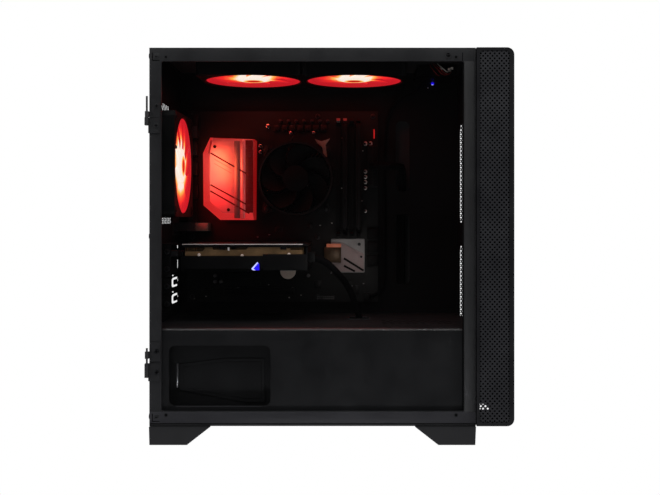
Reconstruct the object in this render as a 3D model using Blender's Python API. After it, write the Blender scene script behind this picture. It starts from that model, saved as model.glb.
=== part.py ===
"""Desktop computer tower, mid-size, with a hinged glass side door on the left.

Frame of the part: +X towards the front panel, -Y towards the glass door, +Z up.
The origin is at the middle of the footprint, on the surface the feet stand on.
Every dimension below is in millimetres and is turned into metres when the
geometry is made.
"""
import math

import bmesh
import bpy
from mathutils import Matrix

MM = 0.001
GAP = 0.3  # clearance kept between pieces that touch

# ---- case -----------------------------------------------------------------
REAR_X, FRONT_X = -199.2, 161.7  # steel chassis, rear skin to front skin
CASE_TOP, CASE_BOTTOM = 438.5, 20.2  # top skin and bottom skin
FRAME_Y0, FRAME_Y1 = -99.4, -98.4  # side frame sheet
RIGHT_Y0, RIGHT_Y1 = 103.9, 105.0  # right side panel sheet
SHEET = 1.0
OPENING = (-185.9, 148.7, 36.5, 423.5)  # side opening: X0, X1, Z0, Z1
INNER_Y0, INNER_Y1 = -98.1, 103.6  # width between the two side skins
TRAY_Y0, TRAY_Y1 = 81.1, 82.1

# ---- front panel ------------------------------------------------------------
PANEL_X0, PANEL_X1 = 162.1, 203.5
FINGER_GRIP = (166.0, 190.0, -25.0, 25.0)             # opening under the front panel, X and Y
PANEL_Z0, PANEL_Z1 = 21.1, 438.0
PANEL_R = 8.0

# ---- door and hinges --------------------------------------------------------
GLASS = (-198.0, 160.4, -105.0, -101.0, 21.9, 437.4)
PIN_X, PIN_Y, PIN_R = -201.3, -102.4, 1.1
KNUCKLE_R, KNUCKLE_BORE = 2.2, 1.3
HINGES = {  # ear, pin top, knuckle, leaf plate, bracket plate (Z ranges)
    "upper": {"ear": (352.5, 361.0), "pin": (354.0, 384.6), "knuckle": (361.3, 367.9), "leaf": (361.3, 383.0), "plate": (344.0, 361.0)},
    "lower": {"ear": (74.2, 89.6), "pin": (76.0, 106.6), "knuckle": (95.1, 102.8), "leaf": (92.0, 113.0), "plate": (70.0, 89.6)},
}

# ---- fans -------------------------------------------------------------------
FAN_SIZE, FAN_DEPTH, FAN_BORE, FAN_ROTOR = 119.6, 25.0, 114.0, 111.0
TOP_FAN_Z = (412.2, 437.2)
TOP_FAN_CENTRES = ((-93.0, -15.0), (27.0, -15.0))
REAR_FAN_X = (-197.9, -172.9)
REAR_FAN_CENTRE = (-30.0, 311.4)  # Y, Z
CPU_FAN_CENTRE = (-45.5, 299.2)  # X, Z

# ---- boards and slots -------------------------------------------------------
BOARD_Y0, BOARD_Y1 = 73.0, 74.6
BOARD = (-186.9, 57.1, 143.0, 387.0)
SLOT_PITCH = 20.32
SLOT_Z = [211.2 - SLOT_PITCH * i for i in range(4)]
IO_APERTURE = (30.1, 74.5, 226.5, 385.3)
DIMM_X = (6.7, 15.2, 23.7, 32.2)

# ---- power supply bay -------------------------------------------------------
SHROUD_FACE_Y, SHROUD_TOP, SHROUD_BEND = -93.0, 128.0, 4.5
SHROUD_WINDOW = (-178.9, -65.8, 41.1, 108.4)
PSU = (-197.9, -57.9, -72.0, 78.0, 26.0, 112.0)
PSU_FAN = (-118.7, 3.0)
ROCKER = (-194.0, 25.0, 68.0)
ROCKER_TILT = 8.0

for old in list(bpy.data.objects):
    bpy.data.objects.remove(old, do_unlink=True)

tower = bpy.data.collections.new("desktop_tower")
cutters = bpy.data.collections.new("cutters")
bpy.context.scene.collection.children.link(tower)
bpy.context.scene.collection.children.link(cutters)


def material(name, colour, roughness, metallic=0.0):
    m = bpy.data.materials.new(name)
    m.use_nodes = True
    shader = m.node_tree.nodes["Principled BSDF"]
    shader.inputs["Base Color"].default_value = (*colour, 1.0)
    shader.inputs["Roughness"].default_value = roughness
    shader.inputs["Metallic"].default_value = metallic
    m.diffuse_color = (*colour, 1.0)
    return m


STEEL = material("painted_steel", (0.020, 0.020, 0.021), 0.5, 0.2)
PLASTIC = material("black_plastic", (0.012, 0.012, 0.014), 0.45)
RUBBER = material("foot_rubber", (0.014, 0.014, 0.015), 0.8)
TINT = material("tinted_glass", (0.30, 0.31, 0.32), 0.03)
RED = material("lit_blade", (0.75, 0.04, 0.03), 0.35)
SILVER = material("silver_armour", (0.62, 0.60, 0.60), 0.3, 0.9)
PCB = material("circuit_board", (0.010, 0.012, 0.012), 0.5)
SPREADER = material("dark_aluminium", (0.05, 0.05, 0.055), 0.4, 0.8)
ZINC = material("zinc_plate", (0.45, 0.45, 0.46), 0.35, 0.9)
BRAID = material("braided_sleeve", (0.014, 0.014, 0.014), 0.9)
COIN = material("coin_cell", (0.66, 0.66, 0.66), 0.25, 1.0)


def put(obj, mat=None, cutter=False):
    (cutters if cutter else tower).objects.link(obj)
    if cutter:
        obj.hide_render = True
        obj.display_type = "WIRE"
    elif mat is not None and not obj.data.materials:
        obj.data.materials.append(mat)
    return obj


def box(name, x0, x1, y0, y1, z0, z1, mat=None, cutter=False):
    bm = bmesh.new()
    bmesh.ops.create_cube(bm, size=1.0)
    bmesh.ops.scale(bm, vec=((x1 - x0) * MM, (y1 - y0) * MM, (z1 - z0) * MM), verts=bm.verts)
    mesh = bpy.data.meshes.new(name)
    bm.to_mesh(mesh)
    bm.free()
    obj = bpy.data.objects.new(name, mesh)
    obj.location = ((x0 + x1) / 2 * MM, (y0 + y1) / 2 * MM, (z0 + z1) / 2 * MM)
    return put(obj, mat, cutter)


TURN = {"X": Matrix.Rotation(math.pi / 2, 4, "Y"), "Y": Matrix.Rotation(-math.pi / 2, 4, "X"), "Z": Matrix.Identity(4)}


def rod(name, axis, centre, radius, a0, a1, mat=None, cutter=False, sides=32):
    """A cylinder along axis between a0 and a1; centre gives the two other coordinates."""
    bm = bmesh.new()
    bmesh.ops.create_cone(bm, cap_ends=True, cap_tris=False, segments=sides, radius1=radius * MM, radius2=radius * MM, depth=(a1 - a0) * MM)
    bmesh.ops.transform(bm, matrix=TURN[axis], verts=bm.verts)
    mesh = bpy.data.meshes.new(name)
    bm.to_mesh(mesh)
    bm.free()
    mesh.shade_smooth()
    mesh.set_sharp_from_angle(angle=math.radians(35))
    obj = bpy.data.objects.new(name, mesh)
    mid = (a0 + a1) / 2
    u, v = centre
    place = {"X": (mid, u, v), "Y": (u, mid, v), "Z": (u, v, mid)}[axis]
    obj.location = [c * MM for c in place]
    return put(obj, mat, cutter)


PLANES = {
    "XY": Matrix.Identity(4),
    "XZ": Matrix(((1, 0, 0, 0), (0, 0, -1, 0), (0, 1, 0, 0), (0, 0, 0, 1))),
    "YZ": Matrix(((0, 0, 1, 0), (1, 0, 0, 0), (0, 1, 0, 0), (0, 0, 0, 1))),
}


def plate(name, plane, loops, a0, a1, mat=None, cutter=False, solid=False):
    """A flat outline with holes, extruded from a0 to a1 across its plane."""
    curve = bpy.data.curves.new(name, "CURVE")
    curve.dimensions = "2D"
    curve.fill_mode = "BOTH"
    curve.extrude = (a1 - a0) / 2 * MM
    for loop in loops:
        spline = curve.splines.new("POLY")
        spline.points.add(len(loop) - 1)
        for p, (u, v) in zip(spline.points, loop):
            p.co = (u * MM, v * MM, 0.0, 1.0)
        spline.use_cyclic_u = True
    obj = bpy.data.objects.new(name, curve)
    across = {"XY": (0, 0, 1), "XZ": (0, 1, 0), "YZ": (1, 0, 0)}[plane]
    mid = (a0 + a1) / 2 * MM
    obj.matrix_world = Matrix.Translation([c * mid for c in across]) @ PLANES[plane]
    put(obj, mat, cutter)
    return as_mesh(obj, mat, cutter) if (solid or cutter) else obj


def as_mesh(obj, mat=None, cutter=False):
    """Turns a curve object into a welded mesh object of the same name and place."""
    bpy.context.view_layer.update()
    graph = bpy.context.evaluated_depsgraph_get()
    mesh = bpy.data.meshes.new_from_object(obj.evaluated_get(graph))
    bm = bmesh.new()
    bm.from_mesh(mesh)
    bmesh.ops.remove_doubles(bm, verts=bm.verts, dist=1e-6)
    bmesh.ops.recalc_face_normals(bm, faces=bm.faces)
    bm.to_mesh(mesh)
    bm.free()
    name, place = obj.name, obj.matrix_world.copy()
    bpy.data.objects.remove(obj, do_unlink=True)
    new = bpy.data.objects.new(name, mesh)
    new.matrix_world = place
    return put(new, mat, cutter)


def boolean(obj, other, operation):
    mod = obj.modifiers.new(operation.lower(), "BOOLEAN")
    mod.operation = operation
    mod.object = other
    mod.solver = "EXACT"
    return obj


def cut(obj, *others):
    for other in others:
        boolean(obj, other, "DIFFERENCE")
    return obj


def join(obj, *others):
    for other in others:
        boolean(obj, other, "UNION")
    return obj


def rect(u0, u1, v0, v1):
    return [(u0, v0), (u1, v0), (u1, v1), (u0, v1)]


def round_rect(u0, u1, v0, v1, r, steps=4):
    points = []
    for cu, cv, start in ((u1 - r, v1 - r, 0), (u0 + r, v1 - r, 90), (u0 + r, v0 + r, 180), (u1 - r, v0 + r, 270)):
        for i in range(steps + 1):
            a = math.radians(start + 90 * i / steps)
            points.append((cu + r * math.cos(a), cv + r * math.sin(a)))
    return points


def chamfer_rect(u0, u1, v0, v1, c):
    return [(u0 + c, v0), (u1 - c, v0), (u1, v0 + c), (u1, v1 - c), (u1 - c, v1), (u0 + c, v1), (u0, v1 - c), (u0, v0 + c)]


def circle(cu, cv, r, sides=32):
    return [(cu + r * math.cos(2 * math.pi * i / sides), cv + r * math.sin(2 * math.pi * i / sides)) for i in range(sides)]


# ---- chassis ----------------------------------------------------------------
frame = plate("side_frame", "XZ", [rect(REAR_X, FRONT_X, CASE_BOTTOM, CASE_TOP), round_rect(*OPENING, 2.0, 2)], FRAME_Y0, FRAME_Y1, STEEL, solid=True)
x0, x1, z0, z1 = OPENING
lip = plate("side_frame_lip", "XZ", [round_rect(x0 - 1, x1 + 1, z0 - 1, z1 + 1, 3.0, 2), round_rect(x0, x1, z0, z1, 2.0, 2)], FRAME_Y1 - 0.4, FRAME_Y1 + 2.0, cutter=True)
join(frame, lip)

BUTTON_X, POWER_Y, RESET_Y, AUDIO_Y = 128.0, 22.0, 38.0, 72.0
USB_Y = (47.0, 58.0)
top = plate(
    "top_panel", "XY",
    [rect(REAR_X + 1.3, FRONT_X - 0.3, INNER_Y0, INNER_Y1), circle(BUTTON_X, POWER_Y, 6.5, 24), circle(BUTTON_X, RESET_Y, 3.5, 16), circle(BUTTON_X, AUDIO_Y, 3.0, 16)]
    + [rect(BUTTON_X - 6.6, BUTTON_X + 6.6, y, y + 6.0) for y in USB_Y],
    CASE_TOP - SHEET, CASE_TOP, STEEL, solid=True)
join(top, box("top_flange", REAR_X + 1.3, FRONT_X - 1.7, INNER_Y1 - 1.0, INNER_Y1, 425.0, CASE_TOP - 0.4, cutter=True))

bottom = box("bottom_panel", REAR_X + 1.3, FRONT_X - 0.3, INNER_Y0, INNER_Y1, CASE_BOTTOM, CASE_BOTTOM + SHEET, STEEL)
RAIL_X0, RAIL_X1, RAIL_Z = -196.0, -44.0, 15.6
for side, wall, foot in (("left", (-63.0, -60.3), (-63.0, -57.0)), ("right", (70.3, 73.0), (67.0, 73.0))):
    join(bottom, box(f"rail_{side}", RAIL_X0, RAIL_X1, *wall, RAIL_Z, CASE_BOTTOM + 0.5, cutter=True))
    join(bottom, box(f"rail_lip_{side}", RAIL_X0, RAIL_X1, *foot, RAIL_Z, RAIL_Z + 0.9, cutter=True))

rear_holes = [rect(IO_APERTURE[0], IO_APERTURE[1], IO_APERTURE[2], IO_APERTURE[3]), rect(-66.0, 72.0, 31.0, 107.0)]
rear_holes += [rect(-38.0, 64.0, z - 6.5, z + 6.5) for z in SLOT_Z]
plate("rear_panel", "YZ", [rect(INNER_Y0, INNER_Y1, CASE_BOTTOM + 1.3, CASE_TOP - 1.3)] + rear_holes, REAR_X, REAR_X + SHEET, STEEL)
plate("front_wall", "YZ", [rect(INNER_Y0, INNER_Y1, CASE_BOTTOM + 1.3, CASE_TOP - 1.3), chamfer_rect(-70, 70, 244, 367, 14), chamfer_rect(-70, 70, 93, 216, 14)],
      FRONT_X - 0.3 - SHEET, FRONT_X - 0.3, STEEL)
plate("motherboard_tray", "XZ",
      [rect(REAR_X + 1.3, FRONT_X - 1.6, CASE_BOTTOM + 1.3, CASE_TOP - 1.3), round_rect(-105, 15, 245, 350, 6, 3), round_rect(80, 98, 165, 255, 6, 3), round_rect(80, 98, 285, 375, 6, 3), round_rect(-44, -8, 42, 86, 6, 3)],
      TRAY_Y0, TRAY_Y1, STEEL)
right = box("right_side_panel", REAR_X, FRONT_X, RIGHT_Y0, RIGHT_Y1, CASE_BOTTOM, CASE_TOP, STEEL)
join(right, box("right_panel_lip", REAR_X - 1.3, REAR_X - 0.3, 88.0, RIGHT_Y1 - 0.1, 30.0, 430.0, cutter=True),
     box("right_panel_fold", REAR_X - 1.3, REAR_X + 0.5, RIGHT_Y0 + 0.1, RIGHT_Y1 - 0.1, 30.0, 430.0, cutter=True))

# power supply shroud: one sheet, bent along its near top edge
outer, inner = [], []
cy, cz = SHROUD_FACE_Y + SHROUD_BEND, SHROUD_TOP - SHROUD_BEND
for i in range(5):
    a = math.radians(180 - 90 * i / 4)
    outer.append((cy + SHROUD_BEND * math.cos(a), cz + SHROUD_BEND * math.sin(a)))
    inner.append((cy + (SHROUD_BEND - SHEET) * math.cos(a), cz + (SHROUD_BEND - SHEET) * math.sin(a)))
profile = [(SHROUD_FACE_Y, CASE_BOTTOM + 1.3)] + outer + [(TRAY_Y0 - GAP, SHROUD_TOP), (TRAY_Y0 - GAP, SHROUD_TOP - SHEET)] + inner[::-1] + [(SHROUD_FACE_Y + SHEET, CASE_BOTTOM + 1.3)]
shroud = plate("psu_shroud", "YZ", [profile], REAR_X + 1.3, FRONT_X - 1.6, STEEL, solid=True)
cut(shroud,
    plate("shroud_window", "XZ", [round_rect(*SHROUD_WINDOW, 7.0, 4)], SHROUD_FACE_Y - 3, SHROUD_FACE_Y + 3, cutter=True),
    plate("shroud_cable_hole", "XY", [round_rect(20, 46, -2, 24, 5, 3)], SHROUD_TOP - 4, SHROUD_TOP + 3, cutter=True))

plate("drive_cage", "XZ", [rect(20, 150, CASE_BOTTOM + 1.3, 105), rect(21, 149, CASE_BOTTOM + 2.3, 104)], -75, 75, STEEL)
box("hard_drive", 34.0, 135.6, -73.0, 74.0, CASE_BOTTOM + 2.6, CASE_BOTTOM + 28.7, ZINC)

COVER_X0, COVER_X1 = REAR_X + 1.3, REAR_X + 2.1
for i, z in enumerate(SLOT_Z[2:], 1):
    plate(f"slot_cover_{i}", "XY", [[(COVER_X0, -43.0), (-186.0, -43.0), (-186.0, -42.2), (COVER_X1, -42.2), (COVER_X1, 66.0), (COVER_X0, 66.0)]], z - 9.2, z + 9.2, STEEL)

for name, tops, bottoms in (("rear", (-198.9, -131.5), (-198.4, -157.1)), ("front", (94.5, 161.6), (120.1, 160.8))):
    shape = [(bottoms[0], 0.0), (bottoms[1], 0.0), (tops[1], CASE_BOTTOM - GAP), (tops[0], CASE_BOTTOM - GAP)]
    plate(f"foot_{name}_left", "XZ", [shape], -103.0, -80.0, RUBBER)
    plate(f"foot_{name}_right", "XZ", [shape], 80.0, 103.0, RUBBER)

# ---- door -------------------------------------------------------------------
gx0, gx1, gy0, gy1, gz0, gz1 = GLASS
plate("door_glass", "XZ", [round_rect(gx0, gx1, gz0, gz1, 2.0, 2)], gy0, gy1, TINT)
for name, h in HINGES.items():
    bracket = box(f"hinge_bracket_{name}", PIN_X - KNUCKLE_R, REAR_X - GAP, PIN_Y - 2.1, FRAME_Y0 + 0.8, *h["ear"], STEEL)
    join(bracket,
         box(f"bracket_plate_{name}", REAR_X - 1.0, -187.6, -100.5, FRAME_Y0 - GAP, *h["plate"], cutter=True),
         rod(f"hinge_pin_{name}", "Z", (PIN_X, PIN_Y), PIN_R, *h["pin"], cutter=True, sides=16))
    k0, k1 = h["knuckle"]
    knuckle = plate(f"door_hinge_leaf_{name}", "XY", [circle(PIN_X, PIN_Y, KNUCKLE_R, 20), circle(PIN_X, PIN_Y, KNUCKLE_BORE, 20)], k0, k1, STEEL, solid=True)
    join(knuckle,
         box(f"leaf_web_{name}", PIN_X + 0.9, -198.0, -100.7, -99.9, k0 + 0.02, k1 - 0.02, cutter=True),
         box(f"leaf_plate_{name}", -198.4, -187.0, -100.7, -99.9, *h["leaf"], cutter=True))

# ---- front panel --------------------------------------------------------------


def front_outline(x0, x1, z0, z1, r):
    points = [(x0, z0)]
    for cz, start in ((z0 + r, -90), (z1 - r, 0)):
        for i in range(6):
            a = math.radians(start + 90 * i / 5)
            points.append((x1 - r + r * math.cos(a), cz + r * math.sin(a)))
    return points + [(x0, z1)]


panel = plate("front_panel", "XZ", [front_outline(PANEL_X0, PANEL_X1, PANEL_Z0, PANEL_Z1, PANEL_R)], -105.0, 105.0, PLASTIC, solid=True)
cut(panel, plate("front_cavity", "XZ", [front_outline(PANEL_X0 - 5, PANEL_X1 - 3, PANEL_Z0 + 3, PANEL_Z1 - 3, PANEL_R - 2)], -102.6, 102.6, cutter=True))
cut(panel, box("finger_grip", *FINGER_GRIP, PANEL_Z0 - 2, PANEL_Z0 + 5, cutter=True))
plate("front_dust_filter", "XY",
      [[(163.0, -96.0), (188.0, -96.0), (188.0, 96.0), (170.0, 96.0), (170.0, 94.0), (186.0, 94.0), (186.0, -94.0), (163.0, -94.0)]], 52.0, 430.0, PLASTIC)

# ---- top input/output module ----------------------------------------------------
io = box("io_module", 104.0, 152.0, 10.0, 80.5, 424.0, 437.2, PLASTIC)
cut(io, rod("power_well", "Z", (BUTTON_X, POWER_Y), 6.8, 429.0, 440.0, cutter=True, sides=24),
    rod("reset_well", "Z", (BUTTON_X, RESET_Y), 3.6, 429.0, 440.0, cutter=True, sides=16))
for i, y in enumerate(USB_Y):
    cut(io, box(f"usb_well_{i}", BUTTON_X - 6.3, BUTTON_X + 6.3, y + 0.3, y + 5.7, 426.5, 440.0, cutter=True))
rod("power_button", "Z", (BUTTON_X, POWER_Y), 6.1, 431.5, CASE_TOP, PLASTIC, sides=24)
rod("reset_button", "Z", (BUTTON_X, RESET_Y), 3.1, 431.5, CASE_TOP, PLASTIC, sides=16)
box("psu_dust_filter", -198.0, -46.0, -60.0, 70.0, 16.8, 19.9, PLASTIC)

# ---- motherboard and what is on it ----------------------------------------------
bx0, bx1, bz0, bz1 = BOARD
box("motherboard", bx0, bx1, BOARD_Y0, BOARD_Y1, bz0, bz1, PCB)
ON_BOARD = BOARD_Y0 - GAP
plate("vrm_heatsink", "XZ", [[(-153.3, 351.0), (-162.3, 331.5), (-161.8, 266.1), (-140.8, 247.9), (-98.6, 247.9), (-97.7, 348.9)]], 35.0, ON_BOARD, SILVER)

PORTS = {"usb_a": (352.0, 366.5, 55.0), "usb_b": (330.0, 344.5, 55.0), "lan": (305.0, 321.0, 57.0), "video": (275.0, 292.0, 60.0), "audio": (234.0, 244.5, 39.0)}
MOUTHS = {"usb_1": (353.0, 365.5, 57.5, 62.5), "usb_2": (353.0, 365.5, 66.0, 71.0), "usb_3": (331.0, 343.5, 57.5, 62.5), "usb_4": (331.0, 343.5, 66.0, 71.0),
          "lan": (307.0, 319.0, 60.0, 68.5), "video": (276.0, 291.0, 63.0, 69.0)}
ports = box("rear_io_ports", -186.0, -175.0, 71.6, ON_BOARD, 234.0, 366.5, ZINC)
for name, (pz0, pz1, py0) in PORTS.items():
    join(ports, box(f"port_{name}", -197.1, -172.0, py0, ON_BOARD, pz0, pz1, cutter=True))
for name, (mz0, mz1, my0, my1) in MOUTHS.items():
    cut(ports, box(f"mouth_{name}", -199.0, -186.0, my0, my1, mz0, mz1, cutter=True))
plate("io_shield", "YZ",
      [rect(IO_APERTURE[0] + GAP, IO_APERTURE[1] - GAP, IO_APERTURE[2] + GAP, IO_APERTURE[3] - GAP)]
      + [rect(my0 - 0.2, my1 + 0.2, mz0 - 0.2, mz1 + 0.2) for mz0, mz1, my0, my1 in MOUTHS.values()]
      + [circle(y, 239.2, 2.4, 12) for y in (45.0, 56.0, 67.0)],
      REAR_X + 0.3, REAR_X + 1.3, ZINC)

cooler = rod("cpu_cooler_heatsink", "Y", CPU_FAN_CENTRE, 44.0, 42.0, 64.0, SPREADER, sides=40)
join(cooler, rod("cpu_cooler_core", "Y", CPU_FAN_CENTRE, 17.0, 60.0, ON_BOARD, cutter=True, sides=24))

for i, x in enumerate(DIMM_X, 1):
    plate(f"dimm_slot_{i}", "YZ", [[(ON_BOARD, 229.5), (ON_BOARD, 374.0), (58.0, 374.0), (58.0, 369.5), (65.5, 369.0), (65.5, 234.5), (58.0, 234.0), (58.0, 229.5)]], x - 3.1, x + 3.1, PLASTIC)
for i, x in enumerate((DIMM_X[1], DIMM_X[3]), 1):
    box(f"ram_module_{i}", x - 2.9, x + 2.9, 34.0, 65.2, 235.0, 368.4, SPREADER)

plate("chipset_heatsink", "XZ", [[(-2.7, 223.8), (-2.7, 181.0), (39.9, 181.0), (39.9, 223.8)]], 61.0, ON_BOARD, SILVER)
rod("cmos_battery", "Y", (-57.7, 182.6), 10.0, 66.0, 69.2, COIN, sides=28)

# ---- graphics card ----------------------------------------------------------------
GPU_X0, GPU_X1, GPU_Y0 = -173.6, -27.0, -47.0
GPU_FANS = ((-136.6, 5.0), (-64.0, 5.0))
box("gpu_board", GPU_X0, GPU_X1, GPU_Y0, 61.4, 218.0, 220.1, PCB)
box("pcie_slot", -139.0, -50.0, 62.0, ON_BOARD, 214.8, 222.4, PLASTIC)
card = box("gpu_shroud", GPU_X0, GPU_X1, GPU_Y0, 58.0, 189.4, 217.7, PLASTIC)
cut(card, box("gpu_cavity", GPU_X0 + 2, GPU_X1 - 2, GPU_Y0 + 2, 56.0, 191.6, 220.0, cutter=True))
for i, centre in enumerate(GPU_FANS):
    cut(card, rod(f"gpu_fan_hole_{i}", "Z", centre, 35.4, 186.0, 195.0, cutter=True, sides=36))
plate("gpu_bracket", "XY", [[(COVER_X0, -43.0), (-186.0, -43.0), (-186.0, -42.2), (COVER_X1, -42.2), (COVER_X1, 66.0), (COVER_X0, 66.0)]], 181.7, 220.4, ZINC)

# ---- power supply -------------------------------------------------------------------
px0, px1, py0, py1, pz0, pz1 = PSU
psu = box("psu_housing", *PSU, SPREADER)
cut(psu, box("psu_cavity", px0 + 20.0, px1 - 1.5, py0 + 1.5, py1 - 1.5, pz0 + 1.3, pz1 - 1.5, cutter=True),
    rod("psu_fan_hole", "Z", PSU_FAN, 57.0, pz0 - 4, pz0 + 6, cutter=True, sides=40),
    box("inlet_well", px0 - 2, px0 + 14, 38.0, 62.0, 58.0, 77.0, cutter=True),
    box("rocker_well", px0 - 2, px0 + 9, 18.0, 32.0, 58.0, 78.0, cutter=True))
rocker = box("psu_rocker_switch", ROCKER[0] - 3.4, ROCKER[0] + 3.4, 18.6, 31.4, ROCKER[2] - 8.6, ROCKER[2] + 8.6, PLASTIC)
rocker.rotation_euler = (0.0, math.radians(ROCKER_TILT), 0.0)

# ---- fans -----------------------------------------------------------------------------


def blade_set(name, count, r0, r1, span, rise, thick, twist=0.0):
    """Thin blades around +Z, each a sheet between two radii that climbs with angle."""
    bm = bmesh.new()
    radial, around = 2, 3
    for b in range(count):
        base = 2 * math.pi * b / count
        grid = {}
        for j in range(radial + 1):
            r = r0 + (r1 - r0) * j / radial
            for i in range(around + 1):
                t = i / around
                a = base + math.radians(span * (t - 0.5) + twist * j / radial)
                z = rise * (t - 0.5)
                for side in (0, 1):
                    grid[j, i, side] = bm.verts.new((r * math.cos(a) * MM, r * math.sin(a) * MM, (z + (side - 0.5) * thick) * MM))
        for j in range(radial):
            for i in range(around):
                bm.faces.new([grid[j, i, 1], grid[j + 1, i, 1], grid[j + 1, i + 1, 1], grid[j, i + 1, 1]])
                bm.faces.new([grid[j, i, 0], grid[j, i + 1, 0], grid[j + 1, i + 1, 0], grid[j + 1, i, 0]])
        for j in range(radial):
            bm.faces.new([grid[j, 0, 0], grid[j + 1, 0, 0], grid[j + 1, 0, 1], grid[j, 0, 1]])
            bm.faces.new([grid[j, around, 1], grid[j + 1, around, 1], grid[j + 1, around, 0], grid[j, around, 0]])
        for i in range(around):
            bm.faces.new([grid[0, i, 1], grid[0, i + 1, 1], grid[0, i + 1, 0], grid[0, i, 0]])
            bm.faces.new([grid[radial, i, 0], grid[radial, i + 1, 0], grid[radial, i + 1, 1], grid[radial, i, 1]])
    bmesh.ops.recalc_face_normals(bm, faces=bm.faces)
    mesh = bpy.data.meshes.new(name)
    bm.to_mesh(mesh)
    bm.free()
    return put(bpy.data.objects.new(name, mesh), cutter=True)


def rotor(name, axis, centre, a0, a1, hub_r, tip_r, count, span, mat, hub=None):
    """Hub and blades as one solid turning about axis through centre."""
    h0, h1 = hub if hub else (a0, a1)
    hub_obj = rod(name, axis, centre, hub_r, h0, h1, mat, sides=32)
    blades = blade_set(name + "_blades", count, hub_r - 1.5, tip_r, span, (a1 - a0) - 2.6, 1.8, 12.0)
    mid = (a0 + a1) / 2
    u, v = centre
    place = {"X": (mid, u, v), "Y": (u, mid, v), "Z": (u, v, mid)}[axis]
    blades.matrix_world = Matrix.Translation([c * MM for c in place]) @ TURN[axis]
    return join(hub_obj, blades)


def fan_frame(name, axis, centre, a0, a1, back):
    """Square fan frame with a round bore; four struts carry the motor cup at the back face."""
    plane = {"X": "YZ", "Y": "XZ", "Z": "XY"}[axis]
    u, v = centre
    h = FAN_SIZE / 2
    body = plate(name, plane, [round_rect(u - h, u + h, v - h, v + h, 6.0, 3), circle(u, v, FAN_BORE / 2, 40)], a0, a1, PLASTIC, solid=True)
    b0, b1 = (a1 - 3.0, a1) if back > 0 else (a0, a0 + 3.0)
    cup = rod(name + "_cup", axis, centre, 20.0, b0, b1, cutter=True, sides=24)
    for k in range(2):
        strut = plate(f"{name}_strut_{k}", plane, [[(u + p * math.cos(t) - q * math.sin(t), v + p * math.sin(t) + q * math.cos(t)) for p, q in ((-58, -1.6), (58, -1.6), (58, 1.6), (-58, 1.6))]
                                                  for t in [math.radians(20 + 90 * k)]], b0 + 0.15, b1 - 0.15, cutter=True)
        join(body, strut)
    return join(body, cup)


z0, z1 = TOP_FAN_Z
for i, centre in enumerate(TOP_FAN_CENTRES, 1):
    fan_frame(f"top_fan_frame_{i}", "Z", centre, z0, z1, 1)
    rotor(f"top_fan_rotor_{i}", "Z", centre, z0 + 1.0, z1 - 4.5, 20.5, FAN_ROTOR / 2, 9, 30.0, RED)
x0, x1 = REAR_FAN_X
fan_frame("rear_fan_frame", "X", REAR_FAN_CENTRE, x0, x1, -1)
rotor("rear_fan_rotor", "X", REAR_FAN_CENTRE, x0 + 4.5, x1 - 1.0, 20.5, FAN_ROTOR / 2, 9, 30.0, RED)

u, v = CPU_FAN_CENTRE
ring = plate("cpu_fan_frame", "XZ", [circle(u, v, 46.0, 40), circle(u, v, 43.4, 40)], 22.0, 41.6, PLASTIC, solid=True)
join(ring, box("cpu_strut_x", u - 45, u + 45, 39.2, 41.3, v - 1.5, v + 1.5, cutter=True), box("cpu_strut_z", u - 1.5, u + 1.5, 39.2, 41.3, v - 45, v + 45, cutter=True),
     rod("cpu_cup", "Y", CPU_FAN_CENTRE, 15.0, 39.0, 41.5, cutter=True, sides=24))
rotor("cpu_fan_rotor", "Y", CPU_FAN_CENTRE, 23.0, 38.4, 16.0, 42.0, 7, 38.0, PLASTIC)
for i, centre in enumerate(GPU_FANS, 1):
    rotor(f"gpu_fan_rotor_{i}", "Z", centre, 190.0, 200.0, 13.0, 34.0, 9, 30.0, PLASTIC)
rotor("psu_fan_rotor", "Z", PSU_FAN, 28.4, 44.0, 18.0, 55.5, 7, 38.0, PLASTIC)

# ---- cables held along their whole route ------------------------------------------------


def smooth(points, step):
    """Evenly spaced points on a smooth curve through the route's own points."""
    dense = []
    ext = [[2 * a - b for a, b in zip(points[0], points[1])]] + [list(p) for p in points] + [[2 * a - b for a, b in zip(points[-1], points[-2])]]
    for k in range(1, len(ext) - 2):
        p0, p1, p2, p3 = ext[k - 1:k + 3]
        for i in range(20):
            t = i / 20
            dense.append([0.5 * (2 * b + (c - a) * t + (2 * a - 5 * b + 4 * c - d) * t * t + (3 * b - 3 * c + d - a) * t ** 3) for a, b, c, d in zip(p0, p1, p2, p3)])
    dense.append(list(points[-1]))
    total = sum(math.dist(a, b) for a, b in zip(dense, dense[1:]))
    count = max(2, round(total / step))
    out, want, run = [dense[0]], total / count, 0.0
    for a, b in zip(dense, dense[1:]):
        d = math.dist(a, b)
        while run + d >= want * len(out) and len(out) < count:
            f = (want * len(out) - run) / d
            out.append([p + (q - p) * f for p, q in zip(a, b)])
        run += d
    return out + [dense[-1]]


def cable(name, points, radius, step):
    curve = bpy.data.curves.new(name, "CURVE")
    curve.dimensions = "3D"
    curve.bevel_depth = radius * MM
    curve.bevel_resolution = 2
    curve.use_fill_caps = True
    route = smooth(points, step)
    spline = curve.splines.new("POLY")
    spline.points.add(len(route) - 1)
    for p, co in zip(spline.points, route):
        p.co = (co[0] * MM, co[1] * MM, co[2] * MM, 1.0)
    return put(bpy.data.objects.new(name, curve), BRAID)


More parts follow.
